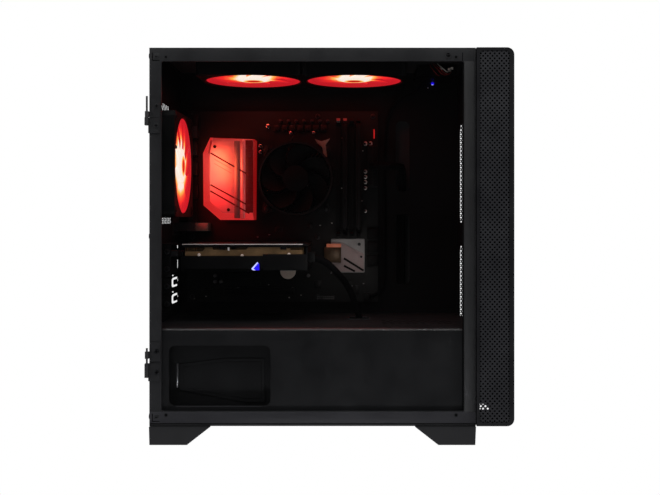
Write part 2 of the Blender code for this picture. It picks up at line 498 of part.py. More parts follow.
cable("gpu_power_cable", [(-25.4, -30, 204), (-18, -30, 204), (-6, -26, 198), (6, -17, 186), (18, -1, 170), (27, 6, 150), (32, 10, 134), (32.5, 11, 124), (27, 11.5, 115), (12, 10.5, 108), (-8, 8, 96), (-30, 6, 84), (-44, 5, 80), (-51, 5, 80), (-56.8, 5, 80)], 4.0, 12.0)
cable("atx_power_cable", [(50.5, 57.4, 316), (51.5, 51, 316), (58, 45, 316), (68, 47, 316), (80, 58, 316), (87.5, 72, 315), (89, 85, 309), (89, 93, 292), (88.5, 93, 250), (88, 93, 190), (86, 93, 130), (76, 93, 88), (50, 93, 68), (15, 93, 63),
                           (-8, 92, 63), (-22, 86, 63), (-31, 76, 63), (-38, 66, 63), (-46, 61, 63), (-51, 60, 63), (-56.8, 60, 63)], 5.0, 14.0)
cable("front_panel_leads", [(112, 60, 423.1), (112, 60, 418.5), (109, 61, 415), (101, 64, 409), (88, 70, 404), (75, 75, 392), (68, 76.6, 372), (66, 76.8, 330), (66, 76.8, 260), (66, 76.8, 200), (65.5, 75.5, 178), (64, 71, 164), (59.5, 68, 156), (52, 67.5, 151.5), (46, 67.5, 150)], 2.0, 12.0)
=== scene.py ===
"""Looks of the desktop computer tower: shells, grilles, fans, board parts, materials and lights over the fixed frame."""

import math

import bmesh
import bpy
from mathutils import Matrix, Vector


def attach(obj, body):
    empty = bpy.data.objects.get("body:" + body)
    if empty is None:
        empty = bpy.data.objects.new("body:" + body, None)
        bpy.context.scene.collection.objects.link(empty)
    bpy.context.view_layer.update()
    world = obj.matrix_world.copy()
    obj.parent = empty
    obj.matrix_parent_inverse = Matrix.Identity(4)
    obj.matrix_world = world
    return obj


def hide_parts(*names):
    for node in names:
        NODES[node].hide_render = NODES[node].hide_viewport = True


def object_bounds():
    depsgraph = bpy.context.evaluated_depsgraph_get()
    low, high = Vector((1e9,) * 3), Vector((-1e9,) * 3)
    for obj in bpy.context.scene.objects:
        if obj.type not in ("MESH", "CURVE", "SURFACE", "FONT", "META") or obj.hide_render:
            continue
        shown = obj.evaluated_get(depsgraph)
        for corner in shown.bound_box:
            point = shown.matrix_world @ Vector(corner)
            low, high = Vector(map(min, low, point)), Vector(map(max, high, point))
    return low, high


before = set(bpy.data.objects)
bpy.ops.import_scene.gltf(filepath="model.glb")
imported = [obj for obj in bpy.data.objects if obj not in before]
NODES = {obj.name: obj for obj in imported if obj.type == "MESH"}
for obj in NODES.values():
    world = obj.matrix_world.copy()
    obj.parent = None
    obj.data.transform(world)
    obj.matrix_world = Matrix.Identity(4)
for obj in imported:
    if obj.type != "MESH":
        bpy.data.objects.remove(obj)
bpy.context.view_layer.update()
MM = 0.001
scene = bpy.context.scene

# ============================================================ materials ======


def new_tree(name):
    m = bpy.data.materials.new(name)
    m.use_nodes = True
    t = m.node_tree
    t.nodes.clear()
    out = t.nodes.new("ShaderNodeOutputMaterial")
    return m, t, out


def node(t, kind, **inputs):
    n = t.nodes.new(kind)
    for k, v in inputs.items():
        if k.startswith("p_"):
            setattr(n, k[2:], v)
        else:
            n.inputs[k.replace("_", " ")].default_value = v
    return n


def noise(t, coord, scale, detail=2.0, rough=0.5):
    n = node(t, "ShaderNodeTexNoise", Scale=scale, Detail=detail, Roughness=rough)
    t.links.new(coord, n.inputs["Vector"])
    return n.outputs["Fac"]


def remap(t, value, lo, hi, to_lo, to_hi):
    n = node(t, "ShaderNodeMapRange")
    for key, v in (("From Min", lo), ("From Max", hi), ("To Min", to_lo), ("To Max", to_hi)):
        n.inputs[key].default_value = v
    t.links.new(value, n.inputs["Value"])
    return n.outputs["Result"]


def surface(name, base, rough, metal=0.0, grain=(1400.0, 0.25, 0.00006), vary=0.18, patch=28.0, spread=0.08,
            coat=0.0, stretch=None, weave=None, emit=None, emit_strength=0.0, specular=0.5, scratch=0.0, sheen=0.0):
    """A moulded, painted or metal finish: fine grain as bump, slow drift in colour and roughness."""
    m, t, out = new_tree(name)
    link = t.links.new
    shader = node(t, "ShaderNodeBsdfPrincipled", Metallic=metal)
    shader.inputs["Specular IOR Level"].default_value = specular
    shader.inputs["Coat Weight"].default_value = coat
    shader.inputs["Coat Roughness"].default_value = 0.15
    if sheen:
        shader.inputs["Sheen Weight"].default_value = sheen
        shader.inputs["Sheen Roughness"].default_value = 0.4
    coords = t.nodes.new("ShaderNodeTexCoord").outputs["Object"]
    fine_coords = coords
    if stretch:
        mp = node(t, "ShaderNodeMapping")
        mp.inputs["Scale"].default_value = stretch
        link(coords, mp.inputs["Vector"])
        fine_coords = mp.outputs["Vector"]
    slow = noise(t, coords, patch, 4.0, 0.6)
    fine = noise(t, fine_coords, grain[0], 3.0, 0.65)
    shade = remap(t, slow, 0.3, 0.7, 1.0 - vary, 1.0 + vary)
    fleck = remap(t, fine, 0.3, 0.7, 1.0 - vary * 0.6, 1.0 + vary * 0.6)
    both = node(t, "ShaderNodeMath", p_operation="MULTIPLY")
    link(shade, both.inputs[0])
    link(fleck, both.inputs[1])
    tint = node(t, "ShaderNodeVectorMath", p_operation="SCALE")
    tint.inputs[0].default_value = base
    link(both.outputs[0], tint.inputs["Scale"])
    link(tint.outputs[0], shader.inputs["Base Color"])
    r = node(t, "ShaderNodeMath", p_operation="ADD")
    link(remap(t, slow, 0.3, 0.7, rough - spread, rough + spread), r.inputs[0])
    link(remap(t, fine, 0.3, 0.7, -spread * 0.5, spread * 0.5), r.inputs[1])
    link(r.outputs[0], shader.inputs["Roughness"])
    height = fine
    if weave:
        wave = node(t, "ShaderNodeTexWave", p_wave_type="BANDS", p_bands_direction="DIAGONAL", Scale=weave, Distortion=0.6, Detail=1.0)
        link(coords, wave.inputs["Vector"])
        wave2 = node(t, "ShaderNodeTexWave", p_wave_type="BANDS", p_bands_direction="X", Scale=weave * 1.4, Distortion=0.6, Detail=1.0)
        link(coords, wave2.inputs["Vector"])
        mix = node(t, "ShaderNodeMath", p_operation="MAXIMUM")
        link(wave.outputs["Fac"], mix.inputs[0])
        link(wave2.outputs["Fac"], mix.inputs[1])
        height = mix.outputs[0]
    if scratch:
        lines = node(t, "ShaderNodeTexNoise", Scale=180.0, Detail=4.0, Roughness=0.7)
        mp2 = node(t, "ShaderNodeMapping")
        mp2.inputs["Scale"].default_value = (1.0, 1.0, 0.05)
        link(coords, mp2.inputs["Vector"])
        link(mp2.outputs["Vector"], lines.inputs["Vector"])
        add = node(t, "ShaderNodeMath", p_operation="MULTIPLY_ADD")
        link(lines.outputs["Fac"], add.inputs[0])
        add.inputs[1].default_value = scratch
        link(height, add.inputs[2])
        height = add.outputs[0]
    bump = node(t, "ShaderNodeBump", Strength=grain[1], Distance=grain[2])
    link(height, bump.inputs["Height"])
    link(bump.outputs["Normal"], shader.inputs["Normal"])
    if emit:
        shader.inputs["Emission Color"].default_value = (*emit, 1.0)
        shader.inputs["Emission Strength"].default_value = emit_strength
    link(shader.outputs["BSDF"], out.inputs["Surface"])
    m.diffuse_color = (*base, 1.0)
    return m


def glow(name, stops, centre, mask, r0, r1, strength, along=None):
    """Lit plastic whose light falls off with the distance from an axis."""
    m, t, out = new_tree(name)
    link = t.links.new
    coords = t.nodes.new("ShaderNodeTexCoord").outputs["Object"]
    off = node(t, "ShaderNodeVectorMath", p_operation="SUBTRACT")
    link(coords, off.inputs[0])
    off.inputs[1].default_value = [c * MM for c in centre]
    flat = node(t, "ShaderNodeVectorMath", p_operation="MULTIPLY")
    link(off.outputs[0], flat.inputs[0])
    flat.inputs[1].default_value = mask
    length = node(t, "ShaderNodeVectorMath", p_operation="LENGTH")
    link(flat.outputs[0], length.inputs[0])
    wobble = node(t, "ShaderNodeMath", p_operation="MULTIPLY_ADD")
    link(noise(t, coords, 60.0, 3.0), wobble.inputs[0])
    wobble.inputs[1].default_value = (r1 - r0) * 0.10 * MM
    link(length.outputs["Value"], wobble.inputs[2])
    fac = remap(t, wobble.outputs[0], r0 * MM, r1 * MM, 0.0, 1.0)
    ramp = t.nodes.new("ShaderNodeValToRGB")
    ramp.color_ramp.elements[0].position = stops[0][0]
    ramp.color_ramp.elements[0].color = (*stops[0][1], 1)
    ramp.color_ramp.elements[1].position = stops[-1][0]
    ramp.color_ramp.elements[1].color = (*stops[-1][1], 1)
    for pos, col in stops[1:-1]:
        e = ramp.color_ramp.elements.new(pos)
        e.color = (*col, 1)
    link(fac, ramp.inputs["Fac"])
    shader = node(t, "ShaderNodeBsdfPrincipled", Roughness=0.35)
    shader.inputs["Base Color"].default_value = (0.25, 0.01, 0.01, 1)
    shader.inputs["Emission Strength"].default_value = strength
    link(ramp.outputs["Color"], shader.inputs["Emission Color"])
    bump = node(t, "ShaderNodeBump", Strength=0.15, Distance=0.0001)
    link(noise(t, coords, 900.0), bump.inputs["Height"])
    link(bump.outputs["Normal"], shader.inputs["Normal"])
    link(shader.outputs["BSDF"], out.inputs["Surface"])
    return m


def clear_glass(name, tint, gloss):
    """Flat toughened glass: lets light straight through, with a thin fresnel reflection."""
    m, t, out = new_tree(name)
    link = t.links.new
    coords = t.nodes.new("ShaderNodeTexCoord").outputs["Object"]
    see = node(t, "ShaderNodeBsdfTransparent")
    drift = node(t, "ShaderNodeVectorMath", p_operation="SCALE")
    drift.inputs[0].default_value = tint
    link(remap(t, noise(t, coords, 9.0), 0.3, 0.7, 0.99, 1.0), drift.inputs["Scale"])
    link(drift.outputs[0], see.inputs["Color"])
    shine = node(t, "ShaderNodeBsdfGlossy", Roughness=0.02)
    link(remap(t, noise(t, coords, 30.0, 4.0), 0.3, 0.7, 0.01, 0.05), shine.inputs["Roughness"])
    fres = node(t, "ShaderNodeFresnel", IOR=1.45)
    part = node(t, "ShaderNodeMath", p_operation="MULTIPLY")
    link(fres.outputs[0], part.inputs[0])
    part.inputs[1].default_value = gloss
    mix = node(t, "ShaderNodeMixShader")
    link(part.outputs[0], mix.inputs["Fac"])
    link(see.outputs[0], mix.inputs[1])
    link(shine.outputs[0], mix.inputs[2])
    link(mix.outputs[0], out.inputs["Surface"])
    return m


STEEL = surface("powder_coat", (0.0250, 0.0250, 0.0262), 0.46, grain=(1500, 0.35, 0.00008), vary=0.10, specular=0.45)
# painted light: a lighter copy of the powder coat, laid over the frame's front bar so it reads as more lit
STEEL_FRONT_LIT = surface("powder_coat_front_bar_painted_light", (0.0400, 0.0400, 0.0402), 0.46, grain=(1500, 0.35, 0.00008), vary=0.10, specular=0.45)
# painted light: a lighter copy of the powder coat for the lower bar and thin edge highlights, standing in for light
# from below
STEEL_LOW_LIT = surface("powder_coat_low_painted_light", (0.046, 0.045, 0.050), 0.44, grain=(1500, 0.35, 0.00008), vary=0.10, specular=0.45)
# painted shade: a darker copy of the powder coat for the shroud, which sits inside the case
SHROUD_SHADED = surface("powder_coat_shroud_painted_shade", (0.0105, 0.0105, 0.0113), 0.42, grain=(1500, 0.30, 0.00008), vary=0.10, specular=0.5)
# painted shade: a near-black copy of the steel for parts inside the case, darker than real paint so they read unlit
INNER_SHADED = surface("inner_steel_painted_shade", (0.0030, 0.0030, 0.0033), 0.60, grain=(1500, 0.35, 0.00008), vary=0.15, specular=0.12)
# painted shadow: dark marks for the shade inside seams, recesses, screw slots and vent holes
GROOVE = surface("seam_shadow", (0.004, 0.004, 0.0042), 0.8, specular=0.1)
PANEL = surface("front_plastic", (0.0085, 0.0085, 0.0098), 0.36, grain=(1100, 0.20, 0.00006), vary=0.12, specular=0.45)
MESH = surface("front_mesh_paint", (0.0155, 0.0158, 0.0185), 0.50, grain=(1500, 0.3, 0.00006), vary=0.12, specular=0.4)
FILTER = surface("filter_fabric", (0.0035, 0.0035, 0.0038), 0.85, weave=900.0, grain=(1400, 0.5, 0.0001), specular=0.1)
PLASTIC = surface("black_plastic", (0.0060, 0.0060, 0.0068), 0.45, grain=(1300, 0.25, 0.00006), specular=0.25)
# painted shade: a darker copy of the black plastic for parts inside the case
DARK = surface("inner_plastic_painted_shade", (0.0028, 0.0028, 0.0030), 0.5, grain=(1300, 0.25, 0.00006), specular=0.15)
RUBBER = surface("foot_rubber", (0.0190, 0.0190, 0.0203), 0.72, grain=(900, 0.45, 0.00012), vary=0.12, specular=0.3)
# dark solder mask, made darker still as painted shade for the board inside the case
BOARD = surface("solder_mask_painted_shade", (0.0034, 0.0032, 0.0034), 0.42, grain=(700, 0.3, 0.00005), vary=0.3, patch=90.0, specular=0.25)
SILVER = surface("brushed_armour", (0.60, 0.58, 0.58), 0.36, 0.85, grain=(420, 0.20, 0.00004), vary=0.08, stretch=(0.08, 1.0, 1.0))
# a darker copy of the brushed armour: painted shade on the armour's shaded strip and bars, and a plain grey metal on
# the chipset rim, board parts and drive cover
SILVER_GREY_AND_SHADE = surface("brushed_metal_grey_and_armour_shade", (0.23, 0.22, 0.22), 0.40, 0.85, grain=(420, 0.25, 0.00004), vary=0.10, stretch=(0.08, 1.0, 1.0))
CHIPSET = surface("chipset_satin", (0.27, 0.205, 0.20), 0.42, 0.40, grain=(500, 0.2, 0.00004), vary=0.10, stretch=(1.0, 1.0, 0.1))
BLACK_ALU = surface("anodised_black", (0.0075, 0.0072, 0.0075), 0.38, 0.3, grain=(600, 0.2, 0.00004), vary=0.12, stretch=(1.0, 1.0, 0.15), specular=0.3)
ENAMEL = surface("psu_enamel", (0.0085, 0.0085, 0.0090), 0.50, grain=(800, 0.5, 0.00012), vary=0.15, specular=0.35)
ZINC = surface("zinc_plate", (0.42, 0.42, 0.43), 0.34, 0.9, grain=(500, 0.25, 0.00004), vary=0.12, patch=60.0)
SCREW = surface("black_screw", (0.030, 0.030, 0.032), 0.35, 0.7, grain=(900, 0.3, 0.00004), vary=0.12)
BRIGHT = surface("nickel", (0.68, 0.67, 0.66), 0.25, 1.0, grain=(700, 0.2, 0.00003), vary=0.1)
COPPER = surface("copper_fins", (0.24, 0.145, 0.066), 0.42, 0.55, grain=(900, 0.3, 0.00004), vary=0.28, patch=70.0)
CAP_TOP = surface("capacitor_top", (0.50, 0.47, 0.44), 0.38, 0.6, grain=(900, 0.3, 0.00004), vary=0.2)
PALE_PLASTIC = surface("pale_clip", (0.16, 0.16, 0.17), 0.5, grain=(1200, 0.2, 0.00004), vary=0.15)
# painted light: the armour is silver metal; red emission on the face and side stands in for light from the red fans,
# the side copy is dark for painted shade, and the bevel's strong glow is a painted highlight
ARMOUR = surface("armour_face_painted_red_light", (0.46, 0.44, 0.44), 0.36, 0.85, grain=(420, 0.20, 0.00004), vary=0.08, stretch=(0.08, 1.0, 1.0), emit=(0.95, 0.012, 0.014), emit_strength=0.26)
ARMOUR_SHADE = surface("armour_side_painted_shade_red_glow", (0.0075, 0.0072, 0.0075), 0.38, 0.3, grain=(600, 0.2, 0.00004), vary=0.12, specular=0.3, emit=(0.95, 0.012, 0.014), emit_strength=0.07)
RIM_GLOW_HIGHLIGHT = surface("armour_bevel_painted_highlight", (0.60, 0.56, 0.56), 0.38, 0.6, grain=(420, 0.20, 0.00004), vary=0.08, emit=(0.92, 0.014, 0.014), emit_strength=0.62)
FAN_BLACK = surface("cooler_fan_black", (0.0022, 0.0020, 0.0021), 0.62, grain=(1300, 0.25, 0.00006), specular=0.05)
# painted shade with painted red light: dark red for the shade inside the armour's grooves
RED_GROOVE_SHADE = surface("groove_painted_shade_red_light", (0.10, 0.012, 0.012), 0.6, specular=0.2)
# painted shade: port and bracket metal darkened so it reads as lying in shade
PORT_DARK = surface("port_metal_painted_shade", (0.030, 0.030, 0.032), 0.5, 0.6, grain=(600, 0.25, 0.00004), vary=0.2)
COIN = surface("coin_cell", (0.97, 0.80, 0.68), 0.38, 0.12, grain=(1500, 0.2, 0.00003), vary=0.08)
RAIL = surface("rail_nickel", (0.85, 0.81, 0.76), 0.40, 0.30, grain=(600, 0.2, 0.00003), vary=0.1)
BRAID = surface("braided_sleeve", (0.0034, 0.0034, 0.0038), 0.75, weave=520.0, grain=(1000, 0.9, 0.0004), vary=0.25, specular=0.06)
RED_WIRE = surface("red_wire", (0.25, 0.020, 0.018), 0.45, grain=(1200, 0.2, 0.00004))
PALE_WIRE = surface("pale_wire", (0.85, 0.80, 0.72), 0.5, grain=(1200, 0.2, 0.00004))
GOLD_BOX = surface("gold_shell", (0.115, 0.070, 0.036), 0.38, 0.45, grain=(700, 0.3, 0.00005), vary=0.3)
PORT_BEIGE = surface("port_shell", (0.24, 0.21, 0.17), 0.4, 0.6, grain=(700, 0.3, 0.00005), vary=0.2)
GLASS = clear_glass("toughened_glass", (0.955, 0.957, 0.960), 0.35)


def lamp_mat(name, colour, strength):
    m, t, out = new_tree(name)
    coords = t.nodes.new("ShaderNodeTexCoord").outputs["Object"]
    shader = node(t, "ShaderNodeBsdfPrincipled", Roughness=0.3)
    shader.inputs["Base Color"].default_value = (*[c * 0.3 for c in colour], 1)
    tint = node(t, "ShaderNodeVectorMath", p_operation="SCALE")
    tint.inputs[0].default_value = colour
    t.links.new(remap(t, noise(t, coords, 300.0), 0.3, 0.7, 0.85, 1.15), tint.inputs["Scale"])
    t.links.new(tint.outputs[0], shader.inputs["Emission Color"])
    shader.inputs["Emission Strength"].default_value = strength
    t.links.new(shader.outputs["BSDF"], out.inputs["Surface"])
    return m


BLUE_LIGHT = lamp_mat("blue_light", (0.016, 0.006, 0.92), 0.9)
BLUE_CORE = lamp_mat("blue_core", (0.50, 0.52, 1.0), 1.2)

# ============================================================ mesh tools =====
TURN = {"X": Matrix.Rotation(math.pi / 2, 4, "Y"), "Y": Matrix.Rotation(-math.pi / 2, 4, "X"), "Z": Matrix.Identity(4)}
PLANES = {
    "XY": Matrix.Identity(4),
    "XZ": Matrix(((1, 0, 0, 0), (0, 0, -1, 0), (0, 1, 0, 0), (0, 0, 0, 1))),
    "YZ": Matrix(((0, 0, 1, 0), (1, 0, 0, 0), (0, 1, 0, 0), (0, 0, 0, 1))),
}
ACROSS = {"XY": Vector((0, 0, 1)), "XZ": Vector((0, 1, 0)), "YZ": Vector((1, 0, 0))}


def rect(u0, u1, v0, v1):
    return [(u0, v0), (u1, v0), (u1, v1), (u0, v1)]


def round_rect(u0, u1, v0, v1, r, steps=6):
    points = []
    for cu, cv, start in ((u1 - r, v1 - r, 0), (u0 + r, v1 - r, 90), (u0 + r, v0 + r, 180), (u1 - r, v0 + r, 270)):
        for i in range(steps + 1):
            a = math.radians(start + 90 * i / steps)
            points.append((cu + r * math.cos(a), cv + r * math.sin(a)))
    return points


def circle(cu, cv, r, sides=32, start=0.0):
    return [(cu + r * math.cos(start + 2 * math.pi * i / sides), cv + r * math.sin(start + 2 * math.pi * i / sides)) for i in range(sides)]


class Part:
    """Builds one piece in world millimetres out of several solids and materials."""

    def __init__(self, name):
        self.name, self.bm, self.mats = name, bmesh.new(), []

    def slot(self, mat):
        if mat not in self.mats:
            self.mats.append(mat)
        return self.mats.index(mat)

    def take(self, mesh_bm, matrix, mat):
        index = self.slot(mat)
        mesh_bm.transform(matrix)
        for f in mesh_bm.faces:
            f.material_index = index
        tmp = bpy.data.meshes.new("tmp")
        mesh_bm.to_mesh(tmp)
        mesh_bm.free()
        self.bm.from_mesh(tmp)
        bpy.data.meshes.remove(tmp)
        return self

    def box(self, x0, x1, y0, y1, z0, z1, mat, bevel=0.0, turn=None, segments=2):
        b = bmesh.new()
        bmesh.ops.create_cube(b, size=1.0)
        bmesh.ops.scale(b, vec=(abs(x1 - x0), abs(y1 - y0), abs(z1 - z0)), verts=b.verts)
        if bevel:
            bmesh.ops.bevel(b, geom=b.edges[:], offset=bevel, segments=segments, profile=0.5, affect="EDGES", clamp_overlap=True)
        place = Matrix.Translation(((x0 + x1) / 2, (y0 + y1) / 2, (z0 + z1) / 2))
        if turn is not None:
            place = place @ turn
        return self.take(b, place, mat)

    def rod(self, axis, centre, radius, a0, a1, mat, sides=32, bevel=0.0, top=None):
        b = bmesh.new()
        bmesh.ops.create_cone(b, cap_ends=True, cap_tris=False, segments=sides, radius1=radius, radius2=radius if top is None else top, depth=abs(a1 - a0))
        if bevel:
            rims = [e for e in b.edges if e.is_manifold and any(len(f.verts) > 4 for f in e.link_faces)]
            bmesh.ops.bevel(b, geom=rims, offset=bevel, segments=2, profile=0.5, affect="EDGES")
        mid = (a0 + a1) / 2
        u, v = centre
        place = {"X": (mid, u, v), "Y": (u, mid, v), "Z": (u, v, mid)}[axis]
        return self.take(b, Matrix.Translation(place) @ TURN[axis], mat)

    def ring(self, axis, centre, r_in, r_out, a0, a1, mat, sides=48):
        plane = {"X": "YZ", "Y": "XZ", "Z": "XY"}[axis]
        return self.plate(plane, [circle(*centre, r_out, sides), circle(*centre, r_in, sides)], a0, a1, mat)

    def plate(self, plane, loops, a0, a1, mat):
        curve = bpy.data.curves.new("tmp", "CURVE")
        curve.dimensions, curve.fill_mode = "2D", "BOTH"
        curve.extrude = (a1 - a0) / 2
        for loop in loops:
            sp = curve.splines.new("POLY")
            sp.points.add(len(loop) - 1)
            for p, (u, v) in zip(sp.points, loop):
                p.co = (u, v, 0, 1)
            sp.use_cyclic_u = True
        o = bpy.data.objects.new("tmp", curve)
        scene.collection.objects.link(o)
        graph = bpy.context.evaluated_depsgraph_get()
        mesh = bpy.data.meshes.new_from_object(o.evaluated_get(graph))
        b = bmesh.new()
        b.from_mesh(mesh)
        bmesh.ops.remove_doubles(b, verts=b.verts, dist=1e-4)
        bmesh.ops.recalc_face_normals(b, faces=b.faces)
        bpy.data.objects.remove(o, do_unlink=True)
        bpy.data.curves.remove(curve)
        bpy.data.meshes.remove(mesh)
        return self.take(b, Matrix.Translation(ACROSS[plane] * ((a0 + a1) / 2)) @ PLANES[plane], mat)

    def perforated(self, plane, inside, pitch, hole_r, a0, a1, mat, u_range, v_range, sides=12, lattice=None):
        """A sheet of hexagon or diamond cells, each with a hole, wherever inside(u, v) is true."""
        index = self.slot(mat)
        b = bmesh.new()
        rows = pitch * math.sqrt(3) / 2
        apothem = pitch / 2
        cell_r = apothem / math.cos(math.pi / 6)
        n_v = int((v_range[1] - v_range[0]) / rows) + 2
        if lattice:
            pitch, rows = lattice[0], lattice[1] / 2
            n_v = int((v_range[1] - v_range[0]) / rows) + 2
        n_u = int((u_range[1] - u_range[0]) / pitch) + 2
        for j in range(n_v):
            for i in range(n_u):
                cu = u_range[0] + i * pitch + (pitch / 2 if j % 2 else 0)
                cv = v_range[0] + j * rows
                if not inside(cu, cv):
                    continue
                rim, hole = [], []
                for k in range(12):
                    a = math.pi / 6 * k
                    r = cell_r if k % 2 == 1 else apothem
                    if lattice:
                        r = 1.0 / (abs(math.cos(a)) / (pitch / 2) + abs(math.sin(a)) / rows)
                    rim.append((cu + r * math.cos(a), cv + r * math.sin(a)))
                    hole.append((cu + hole_r * math.cos(a), cv + hole_r * math.sin(a)))
                vs = {}
                for side, z in ((0, a0), (1, a1)):
                    vs["r", side] = [b.verts.new((u, v, z)) for u, v in rim]
                    vs["h", side] = [b.verts.new((u, v, z)) for u, v in hole]
                for k in range(12):
                    n = (k + 1) % 12
                    b.faces.new((vs["r", 1][k], vs["r", 1][n], vs["h", 1][n], vs["h", 1][k]))
                    b.faces.new((vs["r", 0][n], vs["r", 0][k], vs["h", 0][k], vs["h", 0][n]))
                    b.faces.new((vs["h", 1][k], vs["h", 1][n], vs["h", 0][n], vs["h", 0][k]))
        for f in b.faces:
            f.material_index = index
        b.transform(PLANES[plane] if plane != "XZ" else Matrix(((1, 0, 0, 0), (0, 0, 1, 0), (0, 1, 0, 0), (0, 0, 0, 1))))
        if plane == "XZ":
            bmesh.ops.reverse_faces(b, faces=b.faces[:])
        tmp = bpy.data.meshes.new("tmp")
        b.to_mesh(tmp)
        b.free()
        self.bm.from_mesh(tmp)
        bpy.data.meshes.remove(tmp)
        return self

    def tube(self, points, radius, mat, sides=12, smooth_steps=8, wrap=None):
        """A round tube along a smooth curve through the points."""
        pts = spline(points, smooth_steps)
        b = bmesh.new()
        rings = []
        up = Vector((0.31, 0.17, 0.93))
        for i, p in enumerate(pts):
            d = (pts[min(i + 1, len(pts) - 1)] - pts[max(i - 1, 0)]).normalized()
            side = d.cross(up).normalized()
            top = side.cross(d)
            up = top
            rings.append([b.verts.new(p + (side * math.cos(a) + top * math.sin(a)) * radius) for a in [2 * math.pi * k / sides for k in range(sides)]])
        for r0, r1 in zip(rings, rings[1:]):
            for k in range(sides):
                n = (k + 1) % sides
                b.faces.new((r0[k], r0[n], r1[n], r1[k]))
        b.faces.new(rings[0][::-1])
        b.faces.new(rings[-1])
        bmesh.ops.recalc_face_normals(b, faces=b.faces)
        return self.take(b, Matrix.Identity(4), mat)

    def screw(self, axis, centre, r, a0, a1, mat, cross=True):
        """A pan head with a cross recess; a1 is the outer face."""
        self.rod(axis, centre, r, a0, a1, mat, sides=24, bevel=min(0.35 * abs(a1 - a0), 0.6))
        if cross:
            sign = 1 if a1 > a0 else -1
            f0, f1 = sorted((a1 - 0.02 * sign, a1 + 0.03 * sign))
            u, v = centre
            plane = {"X": "YZ", "Y": "XZ", "Z": "XY"}[axis]
            w, l = r * 0.16, r * 0.62
            for loop in (rect(u - l, u + l, v - w, v + w), rect(u - w, u + w, v - l, v + l)):
                self.plate(plane, [loop], f0, f1, GROOVE)
        return self

    def done(self, body="chassis", slot=None, replaces=(), bevel=0.0, smooth=35.0, segments=2):
        mesh = bpy.data.meshes.new(self.name)
        self.bm.transform(Matrix.Scale(MM, 4))
        self.bm.to_mesh(mesh)
        self.bm.free()
        for m in self.mats:
            mesh.materials.append(m)
        mesh.shade_smooth()
        mesh.set_sharp_from_angle(angle=math.radians(smooth))
        o = bpy.data.objects.new(self.name, mesh)
        scene.collection.objects.link(o)
        if bevel:
            mod = o.modifiers.new("edges", "BEVEL")
            mod.width, mod.segments, mod.limit_method, mod.angle_limit = bevel * MM, segments, "ANGLE", math.radians(40)
            mod.harden_normals = True
        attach(o, body)
        if replaces:
            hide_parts(*replaces)
        return o


def spline(points, steps=8):
    pts = [Vector(p) for p in points]
    ext = [pts[0] * 2 - pts[1]] + pts + [pts[-1] * 2 - pts[-2]]
    out = []
    for k in range(1, len(ext) - 2):
        a, b, c, d = ext[k - 1:k + 3]
        for i in range(steps):
            t = i / steps
            out.append(0.5 * (2 * b + (c - a) * t + (2 * a - 5 * b + 4 * c - d) * t * t + (3 * b - 3 * c + d - a) * t ** 3))
    out.append(pts[-1])
    return out


def paint(names, mat):
    for n in names:
        o = NODES[n]
        o.data.materials.clear()
        o.data.materials.append(mat)


# ================================================= CAD nodes kept as they are
paint(["side_frame", "right_side_panel", "hinge_bracket_upper", "hinge_bracket_lower", "door_hinge_leaf_upper", "door_hinge_leaf_lower"], STEEL)
# painted shade: floor, front wall, tray and drive cage take the near-black inner steel
paint(["bottom_panel", "front_wall", "motherboard_tray", "drive_cage", "hard_drive"], INNER_SHADED)
paint(["psu_shroud"], SHROUD_SHADED)
paint(["door_glass"], GLASS)
paint(["motherboard", "gpu_board"], BOARD)
paint(["dimm_slot_1", "dimm_slot_2", "dimm_slot_3", "dimm_slot_4", "pcie_slot", "io_module", "psu_dust_filter"], DARK)
paint(["power_button", "reset_button", "psu_rocker_switch"], PLASTIC)
paint(["top_fan_frame_1", "top_fan_frame_2", "rear_fan_frame", "cpu_fan_frame", "gpu_shroud"], DARK)
paint(["gpu_power_cable", "atx_power_cable", "front_panel_leads"], BRAID)
paint(["gpu_bracket", "io_shield", "rear_io_ports"], PORT_DARK)
paint(["cmos_battery"], COIN)
paint(["foot_front_left", "foot_front_right", "foot_rear_left", "foot_rear_right"], RUBBER)
paint(["psu_fan_rotor", "gpu_fan_rotor_1", "gpu_fan_rotor_2", "cpu_fan_rotor"], DARK)

# ================================================= front panel ================
X0, X1, Z0, Z1 = 162.1, 203.5, 21.1, 438.0


def front_outline(x0, x1, z0, z1, r, steps=8):
    points = [(x0, z0)]
    for cz, start in ((z0 + r, -90), (z1 - r, 0)):
        for i in range(steps + 1):
            a = math.radians(start + 90 * i / steps)
            points.append((x1 - r + r * math.cos(a), cz + r * math.sin(a)))
    return points + [(x0, z1)]


mesh_x = (165.4, 198.6)
mesh_z = (24.9, 434.6)
for side, ys, flip in (("left", (-105.0, -103.2), 1), ("right", (103.2, 105.0), -1)):
    p = Part(f"front_panel_side_{side}")
    window = round_rect(mesh_x[0], mesh_x[1], mesh_z[0], mesh_z[1], 4.0, 4)
    p.plate("XZ", [front_outline(X0, X1, Z0, Z1, 8.0), window], ys[0], ys[1], PANEL)
    sheet = (ys[0] + 0.55, ys[0] + 1.35) if side == "left" else (ys[1] - 1.35, ys[1] - 0.55)
    p.perforated("XZ", lambda u, v: mesh_x[0] - 1 < u < mesh_x[1] + 1 and mesh_z[0] - 1 < v < mesh_z[1] + 1, 4.9, 1.10, sheet[0], sheet[1], MESH, (mesh_x[0] - 1.3, mesh_x[1] + 1), (mesh_z[0] - 1, mesh_z[1] + 2), lattice=(5.12, 5.47))
    p.done("front_cover", "black_plastic", ("front_panel",), bevel=0.0)

